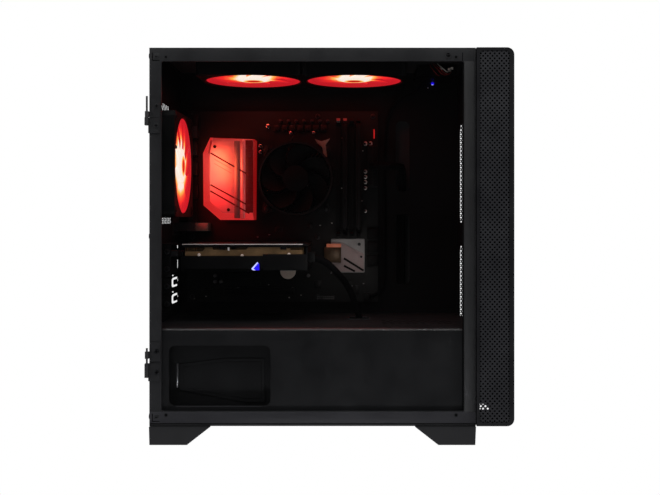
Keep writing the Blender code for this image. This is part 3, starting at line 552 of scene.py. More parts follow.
shell = Part("front_panel_shell")
outer = front_outline(X0, X1, Z0, Z1, 8.0, 10)
inner = front_outline(X0, X1 - 3, Z0 + 3, Z1 - 3, 6.0, 10)
base = Z0 + 3.0
for y0, y1 in ((-103.3, -25.0), (25.0, 103.3)):
    shell.plate("XZ", [outer + inner[::-1]], y0, y1, PANEL)
grip_outer = [(190.0, Z0)] + outer[1:]
grip_inner = [(190.0, base)] + inner[1:]
shell.plate("XZ", [grip_outer + grip_inner[::-1]], -25.0, 25.0, PANEL)
shell.box(162.1, 166.0, -25.0, 25.0, Z0, base, PANEL)
shell.box(162.2, 168.0, -84.0, -83.0, 24.2, 434.9, GROOVE)
shell.done("front_cover", "black_plastic", ("front_panel",), bevel=0.3)

face = Part("front_panel_face_trim")
for y in (-60.0, 60.0):
    face.box(X1 - 0.35, X1 - 0.02, y - 0.4, y + 0.4, 34, 424, GROOVE)
face.box(X1 - 0.35, X1 - 0.02, -60, 60, 33.6, 34.4, GROOVE)
face.box(X1 - 0.35, X1 - 0.02, -60, 60, 423.6, 424.4, GROOVE)
for z in (46.0, 229.0, 413.0):
    for y in (-92.0, 92.0):
        face.rod("X", (y, z), 2.6, X0 + 0.2, X1 - 3.2, DARK, sides=16)
face.box(183.0, 187.6, -102.4, -101.4, 403.4, 406.0, PALE_PLASTIC, 0.4)
face.box(185.4, 188.0, -102.4, -101.4, 406.2, 409.4, PALE_PLASTIC, 0.4)
face.box(168.0, 185.0, -102.2, -101.4, 218.8, 220.2, PALE_PLASTIC, 0.3)
face.done("front_cover", "black_plastic")

flt = Part("front_filter_frame")
flt.plate("YZ", [round_rect(-96, 96, 52, 430, 4), round_rect(-88, 88, 60, 422, 3)], 185.6, 188.0, DARK)
for z in (152, 241, 330):
    flt.box(185.8, 187.8, -88, 88, z - 1.5, z + 1.5, DARK, 0.3)
flt.box(186.6, 187.0, -89, 89, 59, 423, FILTER)
flt.box(163.0, 188.0, -96.0, -94.4, 52, 430, DARK, 0.3)
flt.box(170.0, 188.0, 94.4, 96.0, 52, 430, DARK, 0.3)
flt.done("front_cover", "black_plastic", ("front_dust_filter",))

# ================================================= top and rear skins =========
top = Part("top_panel_skin")
BX, USB = 128.0, (47.0, 58.0)
vents = [(-155.0, 88.0, -78.0, 48.0)]
va = vents[0]
top.plate("XY", [rect(-197.9, 161.4, -98.1, 103.6), round_rect(*va, 10, 6), circle(BX, 22, 6.5, 32), circle(BX, 38, 3.5, 24), circle(BX, 72, 2.0, 16)]
          + [round_rect(BX - 6.6, BX + 6.6, y, y + 6, 0.8, 2) for y in USB], 437.5, 438.5, STEEL)


def in_top(u, v):
    return va[0] - 2 < u < va[1] + 2 and va[2] - 2 < v < va[3] + 2


top.perforated("XY", in_top, 6.4, 2.45, 437.55, 438.3, STEEL, (va[0] - 1, va[1]), (va[2] - 1, va[3] + 1))
top.box(-197.9, 160.0, 102.6, 103.6, 425.0, 437.9, STEEL)
for cx in (-93.0, 27.0):
    for dx in (-52.5, 52.5):
        for dy in (-52.5, 52.5):
            top.rod("Z", (cx + dx, -15 + dy), 4.6, 437.5, 438.35, STEEL, sides=24)
            top.screw("Z", (cx + dx, -15 + dy), 3.0, 438.0, 438.48, SCREW)
top.done("chassis", "painted_steel", ("top_panel",))

rear = Part("rear_panel_skin")
RX0, RX1 = -199.2, -198.2
fan_y, fan_z = -30.0, 311.4
holes = [rect(30.1, 74.5, 226.5, 385.3), rect(-66, 72, 31, 107), circle(fan_y, fan_z, 58.0, 64)]
holes += [rect(-38, 74, 211.2 - 20.32 * i - 6.5, 211.2 - 20.32 * i + 6.5) for i in range(4)]
holes += [rect(27.5, 42.5, z + 7.0, z + 9.3) for z in (170.56, 150.24)]
vent_up, vent_low = (-40.0, 26.0, 374.6, 386.4), (-34.0, 27.0, 243.0, 251.0)
holes += [rect(*vent_up), rect(*vent_low)]
rear.plate("YZ", [rect(-98.1, 103.6, 21.5, 437.2)] + holes, RX0, RX1, INNER_SHADED)
slits = []
for k in range(5):
    y0 = -38.0 + 10.0 * k
    slits.append([(y0 + 13.0, 375.6), (y0 + 16.6, 375.6), (y0 + 3.6, 385.6), (y0, 385.6)])
rear.plate("YZ", [rect(*vent_up)] + slits, RX0 + 0.3, RX0 + 0.5, INNER_SHADED)
slits = []
for row in range(3):
    z0 = vent_low[2] + 0.5 + row * 2.5
    for k in range(6):
        y0 = -32.0 + 9.2 * k
        lo, hi = (y0 + 4.5, y0) if row % 2 else (y0, y0 + 4.5)
        slits.append([(lo, z0), (lo + 3.6, z0), (hi + 3.6, z0 + 2.0), (hi, z0 + 2.0)])
rear.plate("YZ", [rect(*vent_low)] + slits, RX0 + 0.3, RX0 + 0.5, INNER_SHADED)
rear.box(-197.88, -197.4, 28.0, 76.0, 224.4, 228.6, INNER_SHADED)
rear.perforated("YZ", lambda u, v: math.hypot(u - fan_y, v - fan_z) < 59.5, 6.6, 2.9, RX0 + 0.1, RX1 - 0.1, INNER_SHADED, (-90, 30), (250, 373))
for dy in (-52.5, 52.5):
    for dz in (-52.5, 52.5):
        rear.rod("X", (fan_y + dy, fan_z + dz), 5.2, RX0 + 0.02, RX1 - 0.1, INNER_SHADED, sides=24)
        rear.screw("X", (fan_y + dy, fan_z + dz), 3.4, RX1, RX0 - 0.9, SCREW)
rear.box(-198.2, -195.4, -98.1, 103.6, 436.2, 437.3, INNER_SHADED)
rear.done("chassis", "painted_steel", ("rear_panel",))

# slot covers with vents: long slits closed at one end
for i, z in enumerate((170.56, 150.24), 1):
    c = Part(f"vented_slot_cover_{i}")
    hook = [(60, 3.0), (60, 5.6), (29, 5.6), (23, 3.6), (23, -4.0), (29, -6.2), (60, -6.2), (60, -3.6), (38, -3.6), (34, -2.2), (34, 1.8), (38, 3.0)]
    c.plate("YZ", [rect(-42.6, 66.0, z - 9.2, z + 9.2), [(y, z + v) for y, v in hook], round_rect(27.0, 36.5, z + 7.7, z + 9.15, 0.7, 4), round_rect(61.8, 65.4, z - 0.4, z + 2.6, 0.8, 3)], -197.9, -197.6, DARK)
    c.box(-197.9, -186.0, -43.0, -42.2, z - 9.2, z + 9.2, DARK, 0.2)
    c.screw("Y", (-190.5, z), 3.2, -43.0, -45.2, SCREW)
    c.done("chassis", "painted_steel", (f"slot_cover_{i}",))

# ================================================= fans ========================


def fan_rotor(name, body, node_name, axis, centre, a0, a1, hub_r, tip_r, count, near, hub_mat, cap_mat, blade_mat, sweep=34.0, fill=0.86, depth=None, ring=None):
    """Cupped, swept blades on a hub; near is the side that the blades' lower edges face."""
    p = Part(name)
    idx = p.slot(blade_mat)
    b = bmesh.new()
    n_r, n_a = 7, 8
    full, depth = (a1 - a0) - 3.4, depth or (a1 - a0) - 3.4
    shift = near * (full - depth) / 2
    span = 360.0 / count * fill
    for k in range(count):
        base = 2 * math.pi * k / count
        grid = {}
        for j in range(n_r + 1):
            f = j / n_r
            r = hub_r - 1.0 + (tip_r - hub_r + 1.0) * f
            lean = math.radians(sweep) * f ** 1.3
            width = math.radians(span * ((0.74 + 0.26 * math.sin(math.pi * min(1.0, f * 0.9))) if fill < 1 else 1.0))
            rise = depth * (1.0 - 0.28 * f)
            for i in range(n_a + 1):
                t = i / n_a
                a = base + lean + width * (t - 0.5)
                z = shift + rise * (t - 0.5) + 1.6 * math.sin(math.pi * t) * (0.5 if fill > 1 else 1.0)
                for side in (0, 1):
                    thick = 0.75 * (1 - 0.5 * abs(2 * t - 1))
                    grid[j, i, side] = b.verts.new((r * math.cos(a), r * math.sin(a), z + (side - 0.5) * 2 * thick))
        for j in range(n_r):
            for i in range(n_a):
                b.faces.new((grid[j, i, 1], grid[j + 1, i, 1], grid[j + 1, i + 1, 1], grid[j, i + 1, 1]))
                b.faces.new((grid[j, i, 0], grid[j, i + 1, 0], grid[j + 1, i + 1, 0], grid[j + 1, i, 0]))
            for i, s in ((0, 1), (n_a, -1)):
                q = (grid[j, i, 0], grid[j + 1, i, 0], grid[j + 1, i, 1], grid[j, i, 1])
                b.faces.new(q if s > 0 else q[::-1])
        for i in range(n_a):
            for j, s in ((0, 1), (n_r, -1)):
                q = (grid[j, i, 1], grid[j, i + 1, 1], grid[j, i + 1, 0], grid[j, i, 0])
                b.faces.new(q if s > 0 else q[::-1])
    bmesh.ops.recalc_face_normals(b, faces=b.faces)
    mid = (a0 + a1) / 2
    u, v = centre
    place = {"X": (mid, u, v), "Y": (u, mid, v), "Z": (u, v, mid)}[axis]
    p.take(b, Matrix.Translation(place) @ TURN[axis], blade_mat)
    if ring:
        lo, hi = (a0 + 0.15, a0 + 14.0) if near < 0 else (a1 - 14.0, a1 - 0.15)
        p.ring(axis, centre, tip_r - 1.2, tip_r + 0.05, lo, hi, ring, 96)
    # the hub: a skirt round the motor and a slightly domed cap on the near side
    far = a1 if near < 0 else a0
    close = a0 if near < 0 else a1
    step = 1.0 if near > 0 else -1.0
    p.rod(axis, centre, hub_r, min(far, close - step * 1.2), max(far, close - step * 1.2), hub_mat, sides=56)
    lo, hi = sorted((close - step * 1.2, close))
    p.rod(axis, centre, hub_r * 0.97 if near > 0 else hub_r * 0.66, lo, hi, hub_mat if near < 0 else cap_mat, sides=56, top=hub_r * 0.66 if near > 0 else hub_r * 0.97)
    lo, hi = sorted((close - step * 0.4, close + step * 0.25))
    p.rod(axis, centre, hub_r * 0.60, lo, hi, cap_mat, sides=48, bevel=0.2)
    return p.done(body, "red_fan_blades" if "top" in name or "rear" in name else "fan_plastic", (node_name,), smooth=50)


HOT = (0.96, 0.90, 0.78)
YEL = (1.0, 0.56, 0.10)
ORA = (1.0, 0.12, 0.040)
RED = (0.98, 0.026, 0.022)
ROSE = (0.66, 0.015, 0.022)
DEEP = (0.46, 0.009, 0.017)


def fan_stops(hot):
    """Radius as a part of 57 mm: white round the hub, through yellow to red, rose at the tips."""
    k = [hot, hot + 4.5, hot + 9.0, hot + 15.0, 49.0, 57.0]
    return [(0.0, HOT)] + [(r / 57.0, c) for r, c in zip(k, (HOT, YEL, ORA, RED, ROSE, DEEP))]


CAP = [(0.0, (0.55, 0.008, 0.003)), (0.58, (0.74, 0.016, 0.004)), (0.70, (1.0, 0.40, 0.06)), (0.82, YEL), (1.0, HOT)]
for i, (cx, cy) in enumerate(((-93.0, -15.0), (27.0, -15.0)), 1):
    blade = glow(f"lit_blade_top_{i}", fan_stops(22.5), (cx, cy - 5.0, 0), (1, 1, 0), 0, 57, 1.0)
    hub = glow(f"lit_hub_top_{i}", [(0.0, HOT), (0.60, HOT), (0.85, YEL), (1.0, ORA)], (cx, cy - 9.0, 0), (1, 1, 0), 0, 31, 1.05)
    cap = glow(f"lit_cap_top_{i}", CAP, (cx, cy, 0), (1, 1, 0), 0, 13.5, 1.0)
    fan_rotor(f"top_fan_blades_{i}", f"top_fan_{i}", f"top_fan_rotor_{i}", "Z", (cx, cy), 413.2, 432.7, 20.5, 55.4, 9, -1, hub, cap, blade, sweep=22.0, fill=1.24, depth=5.6, ring=blade)
blade = glow("lit_blade_rear", fan_stops(31.0), (0, fan_y - 5.0, fan_z), (0, 1, 1), 0, 57, 1.0)
hub = glow("lit_hub_rear", [(0.0, HOT), (0.62, HOT), (0.85, YEL), (1.0, ORA)], (0, fan_y - 8.0, fan_z), (0, 1, 1), 0, 31, 1.05)
cap = glow("lit_cap_rear", CAP, (0, fan_y, fan_z), (0, 1, 1), 0, 13.5, 1.0)
fan_rotor("rear_fan_blades", "rear_fan", "rear_fan_rotor", "X", (fan_y, fan_z), -193.4, -173.9, 20.5, 55.4, 9, 1, hub, cap, blade, sweep=22.0, fill=1.24, depth=5.6, ring=blade)

CPU = (-45.5, 299.2)
fan_rotor("cpu_fan_blades", "cpu_fan", "cpu_fan_rotor", "Y", CPU, 23.3, 38.3, 16.0, 41.8, 7, -1, FAN_BLACK, FAN_BLACK, FAN_BLACK)
for i, c in enumerate(((-136.6, 5.0), (-64.0, 5.0)), 1):
    fan_rotor(f"gpu_fan_blades_{i}", f"gpu_fan_{i}", f"gpu_fan_rotor_{i}", "Z", c, 190.3, 199.9, 13.0, 33.8, 9, -1, DARK, DARK, DARK)
fan_rotor("psu_fan_blades", "psu_fan", "psu_fan_rotor", "Z", (-118.7, 3.0), 28.7, 43.8, 18.0, 55.2, 7, -1, DARK, DARK, DARK)

pads = Part("fan_corner_pads")
for cx in (-93.0, 27.0):
    for dx in (-52.5, 52.5):
        for dy in (-52.5, 52.5):
            pads.ring("Z", (cx + dx, -15 + dy), 2.2, 5.0, 411.4, 412.2, DARK, 20)
for dy in (-52.5, 52.5):
    for dz in (-52.5, 52.5):
        pads.ring("X", (fan_y + dy, fan_z + dz), 2.2, 5.0, -172.9, -172.1, DARK, 20)
pads.done("chassis", "fan_plastic")

# ================================================= chassis details ============


def soften(names, width, segments=2):
    """A small rolled edge on nodes whose own shape is already right."""
    for n in names:
        mod = NODES[n].modifiers.new("edges", "BEVEL")
        mod.width, mod.segments, mod.limit_method, mod.angle_limit = width * MM, segments, "ANGLE", math.radians(45)


soften(["side_frame", "right_side_panel", "door_hinge_leaf_upper", "door_hinge_leaf_lower"], 0.25)
soften(["door_glass"], 0.5, 3)
soften(["foot_front_left", "foot_front_right", "foot_rear_left", "foot_rear_right"], 0.9, 3)
soften(["top_fan_frame_1", "top_fan_frame_2", "rear_fan_frame", "power_button", "reset_button"], 0.5)
soften(["psu_housing", "dimm_slot_1", "dimm_slot_2", "dimm_slot_3", "dimm_slot_4", "pcie_slot", "gpu_board"], 0.35)
paint(["psu_housing"], ENAMEL)

fy = -99.4
d = Part("side_frame_details")
for z0, z1 in ((423.6, 433.0), (26.6, 36.4)):
    d.box(146.6, 147.5, fy - 0.04, fy + 0.3, z0, z1, GROOVE)
d.box(-199.0, 161.5, fy - 0.04, fy + 0.3, 22.7, 23.4, GROOVE)
# painted light: lighter strip of powder coat over the side frame's bottom bar
d.box(-199.1, 161.6, fy - 0.10, fy + 0.2, 23.5, 35.9, STEEL_LOW_LIT, 0.1)
# painted light: lighter strip of powder coat over the side frame's front bar
d.box(149.1, 160.0, fy - 0.10, fy + 0.2, 36.2, 423.4, STEEL_FRONT_LIT, 0.1)
for z0, z1 in ((424.2, 433.4), (25.0, 34.0)):
    d.box(-196.3, -195.4, fy - 0.28, fy + 0.1, z0, z1, GROOVE, 0.1)
    d.box(-196.3, -187.8, fy - 0.28, fy + 0.1, z0, z0 + 0.8, GROOVE, 0.1)
    d.box(-193.6, -188.6, fy - 0.28, fy + 0.1, z0 + 3.0, z0 + 7.6, STEEL, 0.3)
    d.box(-192.9, -190.2, fy - 0.36, fy - 0.1, z0 + 4.4, z0 + 5.2, GROOVE, 0.1)
for x, z in ((-180.8, 428.2), (139.9, 428.2), (-180.8, 32.4), (139.9, 32.4)):
    d.ring("Y", (x, z), 1.5, 2.4, fy - 0.22, fy + 0.1, STEEL, 24)
    d.rod("Y", (x, z), 1.6, fy - 0.16, fy + 0.1, GROOVE, 20)
d.ring("Y", (131.4, 430.4), 2.4, 3.7, fy - 0.5, fy + 0.1, STEEL, 32)
d.rod("Y", (131.4, 430.4), 2.2, fy - 0.1, fy + 0.1, GROOVE, 28)
d.box(129.4, 133.4, fy - 0.6, fy + 0.1, 430.2, 431.0, SCREW, 0.2)
d.box(147.2, 149.0, -97.2, -96.4, 36.2, 423.8, GROOVE)
d.screw("Y", (-190.7, 79.7), 2.9, -100.5, -100.9, SCREW)
d.screw("Y", (-191.5, 352.5), 2.9, -100.5, -100.9, STEEL)
d.done("chassis", "painted_steel")

hs = Part("door_leaf_screws")
hs.screw("Y", (-190.7, 102.8), 2.9, -100.7, -100.98, SCREW)
hs.screw("Y", (-191.0, 374.0), 2.9, -100.7, -100.98, STEEL)
hs.done("side_door", "painted_steel")

sh = Part("shroud_trim")
wx0, wx1, wz0, wz1 = -178.9, -65.8, 41.1, 108.4
sh.plate("XZ", [round_rect(wx0 - 1.2, wx1 + 1.2, wz0 - 1.2, wz1 + 1.2, 8, 8), round_rect(wx0 + 0.2, wx1 - 0.2, wz0 + 0.2, wz1 - 0.2, 7, 8)], -92.6, -91.2, SHROUD_SHADED)
# painted highlight: a thin light strip along the lower edge of the shroud window
sh.box(-171.0, -75.0, -93.06, -92.7, 40.1, 41.0, STEEL_LOW_LIT, 0.1)
# painted shade: flat dark hexagons on the shroud top stand in for its vent holes
for k in range(9):
    for j in range(5):
        x, y = 62 + k * 9.0 + (4.5 if j % 2 else 0), -50 + j * 7.8
        sh.plate("XY", [circle(x, y, 3.0, 6, math.pi / 6)], 127.98, 128.05, GROOVE)
sh.plate("XY", [round_rect(18.6, 47.4, -3.4, 25.4, 6, 5), round_rect(21, 45, -1, 23, 4.2, 5)], 127.7, 129.0, RUBBER)
sh.done("chassis", "painted_steel", bevel=0.3)

fd = Part("foot_pads")
for x0, x1 in ((-197.0, -158.6), (121.6, 159.4)):
    for y0, y1 in ((-101.0, -82.0), (82.0, 101.0)):
        fd.box(x0, x1, y0, y1, 0.0, 1.6, RUBBER, 0.5)
fd.done("chassis", "foot_rubber")

rs = Part("right_panel_thumbscrews")
for z in (64.0, 396.0):
    rs.rod("X", (96.5, z), 5.2, -203.3, -200.6, SCREW, sides=36, bevel=0.4)
    for k in range(18):
        a = 2 * math.pi * k / 18
        rs.box(-203.0, -200.9, 96.5 + 5.1 * math.cos(a) - 0.25, 96.5 + 5.1 * math.cos(a) + 0.25, z + 5.1 * math.sin(a) - 0.25, z + 5.1 * math.sin(a) + 0.25, SCREW)
    rs.box(-203.42, -203.2, 96.1, 96.9, z - 3.4, z + 3.4, GROOVE)
rs.done("right_cover", "painted_steel")

rc = Part("rear_case_screws")
for y, z in ((-94, 430), (-94, 30), (60, 115), (-60, 115), (-94, 230), (84, 250), (84, 130)):
    rc.screw("X", (y, z), 3.1, -199.2, -200.4, SCREW)
for y, z in ((-62.0, 35.5), (68.0, 35.5), (-62.0, 103.5), (68.0, 103.5)):
    rc.screw("X", (y, z), 3.1, -197.9, -199.0, SCREW)
rc.done("chassis", "painted_steel")

# ================================================= power supply ================
ps = Part("psu_side_relief")
ps.plate("XZ", [[(-170.0, 55.3), (-96.6, 41.7), (-74.0, 41.7), (-74.0, 91.5), (-119.3, 91.5), (-170.0, 84.9)]], -73.1, -71.8, ENAMEL)
ps.plate("XZ", [[(-166.0, 58.6), (-97.5, 46.0), (-78.0, 46.0), (-78.0, 87.6), (-118.3, 87.6), (-166.0, 81.8)]], -73.5, -73.0, ENAMEL)
ps.box(-174.0, -172.0, -74.2, -73.0, 58.5, 85.5, ZINC, 0.3)
ps.done("chassis", "psu_enamel", bevel=0.5)
pg = Part("psu_fan_guard")
for r in (12, 22, 32, 42, 52):
    pts = circle(-118.7, 3.0, r, 40)
    pg.tube([(x, y, 25.2) for x, y in pts] + [(pts[0][0], pts[0][1], 25.2)], 0.75, ZINC, 6, 2)
for k in range(4):
    a = math.pi / 4 + k * math.pi / 2
    pg.tube([(-118.7 + 12 * math.cos(a), 3 + 12 * math.sin(a), 24.4), (-118.7 + 60 * math.cos(a), 3 + 60 * math.sin(a), 24.4)], 0.85, ZINC, 8, 3)
pg.done("chassis", "zinc_plate")
pi = Part("psu_inlet_pins")
for y, z in ((44.5, 64.5), (55.5, 64.5), (50.0, 70.8)):
    pi.box(-191.0, -184.0, y - 0.9, y + 0.9, z - 2.2, z + 2.2, BRIGHT, 0.3)
pi.plate("YZ", [round_rect(36.5, 63.5, 56.5, 78.5, 2.5), round_rect(38, 62, 58, 77, 2.0)], -199.0, -197.9, PLASTIC)
pi.plate("YZ", [round_rect(16.5, 33.5, 56.5, 79.5, 1.5), round_rect(18, 32, 58, 78, 1.0)], -198.7, -197.9, PLASTIC)
# painted shade: flat dark hexagons stand in for the vent holes in the power supply's back
for k in range(5):
    for j in range(9):
        y, z = -60 + k * 11 + (5.5 if j % 2 else 0), 35 + j * 8.2
        pi.plate("YZ", [circle(y, z, 4.2, 6)], -198.0, -197.88, GROOVE)
pi.done("chassis", "black_plastic")

fl = Part("psu_filter_mesh")
fl.plate("XY", [round_rect(-198.0, -46.0, -60.0, 70.0, 4), round_rect(-190.0, -54.0, -52.0, 62.0, 3)], 16.8, 19.9, PLASTIC)
fl.box(-191, -53, -53, 63, 18.0, 18.4, FILTER)
for y in (-23, 6, 35):
    fl.box(-191, -53, y - 1, y + 1, 17.2, 19.2, PLASTIC, 0.3)
for x in (-156, -122, -88):
    fl.box(x - 1, x + 1, -53, 63, 17.2, 19.2, PLASTIC, 0.3)
fl.box(-198.0, -195.6, -8, 18, 16.8, 19.9, RUBBER, 0.4)
fl.done("psu_filter", "black_plastic", ("psu_dust_filter",), bevel=0.25)

# ================================================= voltage regulator armour ===
P = [(-153.3, 351.0), (-162.3, 331.5), (-161.8, 266.1), (-140.8, 247.9), (-98.6, 247.9), (-97.7, 348.9)]
Q = [(-148.8, 349.6), (-153.0, 330.0), (-152.6, 270.5), (-136.6, 256.6), (-99.4, 256.6), (-98.5, 347.8)]
ar = Part("armour_shell")
b = bmesh.new()
low = [b.verts.new((x, 72.7, z)) for x, z in P]
rim = [b.verts.new((x, 43.5, z)) for x, z in P]
topv = [b.verts.new((x, 35.2, z)) for x, z in Q]
b.faces.new(topv)
b.faces.new(low[::-1])
for i in range(6):
    j = (i + 1) % 6
    b.faces.new((rim[i], rim[j], topv[j], topv[i]))
    b.faces.new((low[i], low[j], rim[j], rim[i]))
bmesh.ops.recalc_face_normals(b, faces=b.faces)
bmesh.ops.bevel(b, geom=b.edges[:], offset=0.6, segments=2, profile=0.5, affect="EDGES")
ar.take(b, Matrix.Identity(4), ARMOUR)
# painted highlight: a thin glowing skin over the lit bevels of the armour
b = bmesh.new()
for i, j in ((0, 1), (1, 2), (2, 3), (3, 4)):
    quad = [(P[i][0], 43.3, P[i][1]), (P[j][0], 43.3, P[j][1]), (Q[j][0], 35.3, Q[j][1]), (Q[i][0], 35.3, Q[i][1])]
    b.faces.new([b.verts.new(p) for p in quad])
bmesh.ops.recalc_face_normals(b, faces=b.faces)
if sum(f.normal.y for f in b.faces) > 0:
    bmesh.ops.reverse_faces(b, faces=b.faces[:])
out = bmesh.ops.extrude_face_region(b, geom=b.faces[:])
bmesh.ops.translate(b, verts=[v for v in out["geom"] if isinstance(v, bmesh.types.BMVert)], vec=(0.0, -0.12, 0.0))
ar.take(b, Matrix.Identity(4), RIM_GLOW_HIGHLIGHT)


def bar(part, x0, z0, x1, z1, width, y0, y1, mat, bevel=0.0):
    length, angle = math.hypot(x1 - x0, z1 - z0), math.atan2(z1 - z0, x1 - x0)
    part.box((x0 + x1) / 2 - length / 2, (x0 + x1) / 2 + length / 2, y0, y1, (z0 + z1) / 2 - width / 2, (z0 + z1) / 2 + width / 2, mat, bevel, Matrix.Rotation(-angle, 4, "Y"))


# painted shade: dark red bars for the armour's grooves
for x0, z0, x1, z1 in ((-152.4, 331.5, -103.6, 303.4), (-156.5, 294.2, -103.6, 265.3), (-159.9, 288.5, -103.6, 256.2)):
    slope = (z1 - z0) / (x1 - x0)
    for xa, xb, front in ((max(x0, -152.0), -115.0, 34.95), (-115.2, -108.4, 33.7), (-108.4, x1, 34.1)):
        bar(ar, xa, z0 + slope * (xa - x0), xb, z0 + slope * (xb - x0), 1.9, front, 36.4, RED_GROOVE_SHADE)
for z in (300.0, 305.5, 311.0):
    bar(ar, -147.0, z + 18.0, -126.0, z + 6.0, 0.7, 35.05, 36.0, SILVER_GREY_AND_SHADE)
# painted shade: darker copies of the metal for the strip beside the lit ridge and the fins on the right, which lie in
# the armour's shadow; the fins also carry a faint painted red glow
ar.box(-122.2, -115.2, 34.95, 37.0, 250.0, 346.0, SILVER_GREY_AND_SHADE, 0.3)
ar.box(-114.6, -108.8, 33.8, 37.0, 249.6, 347.6, ARMOUR, 1.1, segments=3)
ar.box(-108.2, -98.9, 34.7, 37.0, 257.0, 347.2, ARMOUR_SHADE, 0.5)
for k in range(9):
    ar.box(-107.4, -99.6, 34.2, 34.9, 262 + k * 9.2, 267.4 + k * 9.2, ARMOUR_SHADE, 0.3)
for x, z in ((-146.5, 339.0), (-129.5, 260.5)):
    ar.screw("Y", (x, z), 2.1, 35.4, 34.6, SCREW)
ar.done("chassis", "silver_aluminium", ("vrm_heatsink",), smooth=30)

# ================================================= processor cooler ============
hk = Part("cooler_fins")
hk.rod("Y", CPU, 16.0, 42.0, 72.7, BRIGHT, 40, bevel=0.6)
for k in range(60):
    a = 2 * math.pi * k / 60
    turn = Matrix.Rotation(-a, 4, "Y")
    cx, cz = CPU[0] + 29.8 * math.cos(a), CPU[1] + 29.8 * math.sin(a)
    hk.box(cx - 14.0, cx + 14.0, 42.3, 63.8, cz - 0.35, cz + 0.35, BLACK_ALU, 0.0, turn)
hk.ring("Y", CPU, 42.8, 44.0, 50.0, 60.0, BLACK_ALU, 64)
hk.done("chassis", "black_aluminium", ("cpu_cooler_heatsink",))
mt = Part("cooler_mount")
mt.ring("Y", CPU, 44.2, 46.6, 40.6, 48.0, DARK, 64)
for sx in (-1, 1):
    for sz in (-1, 1):
        cx, cz = CPU[0] + sx * 37.5, CPU[1] + sz * 37.5
        mt.plate("XZ", [[(cx - sx * 9.0, cz + sz * 3.0), (cx + sx * 2.5, cz + sz * 5.5), (cx + sx * 5.5, cz + sz * 2.0), (cx + sx * 3.0, cz - sz * 9.0), (cx - sx * 2.0, cz - sz * 3.5)]], 44.0, 47.0, PLASTIC)
        mt.rod("Y", (cx, cz), 4.2, 46.0, 70.0, DARK, 24, bevel=0.5)
        mt.rod("Y", (cx, cz), 3.1, 41.0, 46.5, PLASTIC, 24, bevel=0.8)
clip = [(-22.5, 349.0), (-14.0, 346.2), (-3.5, 349.5), (-8.8, 341.0), (-7.2, 326.5), (-11.0, 325.5), (-13.2, 338.5), (-19.5, 344.0)]
mt.plate("XZ", [clip], 40.2, 44.2, PORT_BEIGE)
mt.tube([(-52, 41, 343.5), (-50, 38, 350), (-46, 45, 356), (-40, 60, 360), (-38, 70, 361)], 1.3, DARK, 8)
mt.done("chassis", "fan_plastic", bevel=0.4)

# ================================================= memory ======================
for i, x in enumerate((15.2, 32.2), 1):
    r = Part(f"memory_spreader_{i}")
    teeth = [(34.0 + (0.7 if k % 2 else 0.0), 241 + k * 4.06) for k in range(31)]
    side = [(64.9, 235.3), (37.4, 235.3), (34.6, 238.0)] + teeth + [(34.6, 366.0), (37.4, 368.3), (64.9, 368.3)]
    r.plate("YZ", [side], x - 2.8, x - 0.9, DARK)
    r.plate("YZ", [side], x + 0.9, x + 2.8, DARK)
    r.box(x - 0.75, x + 0.75, 35.6, 65.2, 235.2, 368.4, BOARD)
    for z in (262, 302, 342):
        r.box(x - 2.95, x + 2.95, 41, 58, z - 12, z + 12, BLACK_ALU, 0.4)
    r.done("chassis", "black_aluminium", (f"ram_module_{i}",), bevel=0.25)
lt = Part("memory_slot_latches")
for x in (6.7, 15.2, 23.7, 32.2):
    for z0, z1, s in ((369.8, 376.4, 1), (227.2, 233.8, -1)):
        zc = z1 if s > 0 else z0
        lt.plate("YZ", [[(72.6, zc - s * 4.5), (55.4, zc - s * 5.6), (53.2, zc - s * 3.4), (55.0, zc), (60.5, zc - s * 0.4), (62.0, zc - s * 1.8), (72.6, zc - s * 1.4)]], x - 2.4, x + 2.4, SILVER_GREY_AND_SHADE if x < 20 and s > 0 else DARK)
lt.done("chassis", "fan_plastic", bevel=0.25)

# ================================================= chipset heatsink ============
ch = Part("chipset_cover")
b = bmesh.new()
A = [(-2.7, 223.8), (-2.7, 181.0), (39.9, 181.0), (39.9, 223.8)]
rimv = [b.verts.new((x, 64.4, z)) for x, z in A]
lowv = [b.verts.new((x, 72.7, z)) for x, z in A]
B = [(1.0, 221.8), (1.0, 183.0), (37.6, 183.0), (37.6, 204.6), (9.6, 218.2)]
for i in range(4):
    j = (i + 1) % 4
    b.faces.new((rimv[i], lowv[i], lowv[j], rimv[j]))
b.faces.new(lowv)
b.faces.new(rimv[::-1])
bmesh.ops.recalc_face_normals(b, faces=b.faces)
bmesh.ops.bevel(b, geom=b.edges[:], offset=0.5, segments=2, affect="EDGES")
ch.take(b, Matrix.Identity(4), SILVER_GREY_AND_SHADE)
ch.plate("XZ", [[(-1.6, 182.4), (38.8, 182.4), (38.8, 205.0), (10.2, 219.0), (-1.6, 219.0)]], 61.4, 64.8, CHIPSET)
for x0, z0, x1, z1 in ((13.6, 199.2, 38.6, 183.6), (13.7, 189.8, 27.6, 182.6)):
    bar(ch, x0, z0, x1, z1, 2.6, 61.0, 62.4, GROOVE)
ch.rod("Y", (33.0, 217.0), 2.0, 62.6, 64.8, SCREW, 20, bevel=0.4)
for x, z in ((2.0, 185.2), (35.6, 201.2)):
    ch.screw("Y", (x, z), 1.5, 61.6, 61.1, SCREW)
ch.done("chassis", "silver_aluminium", ("chipset_heatsink",), bevel=0.3)

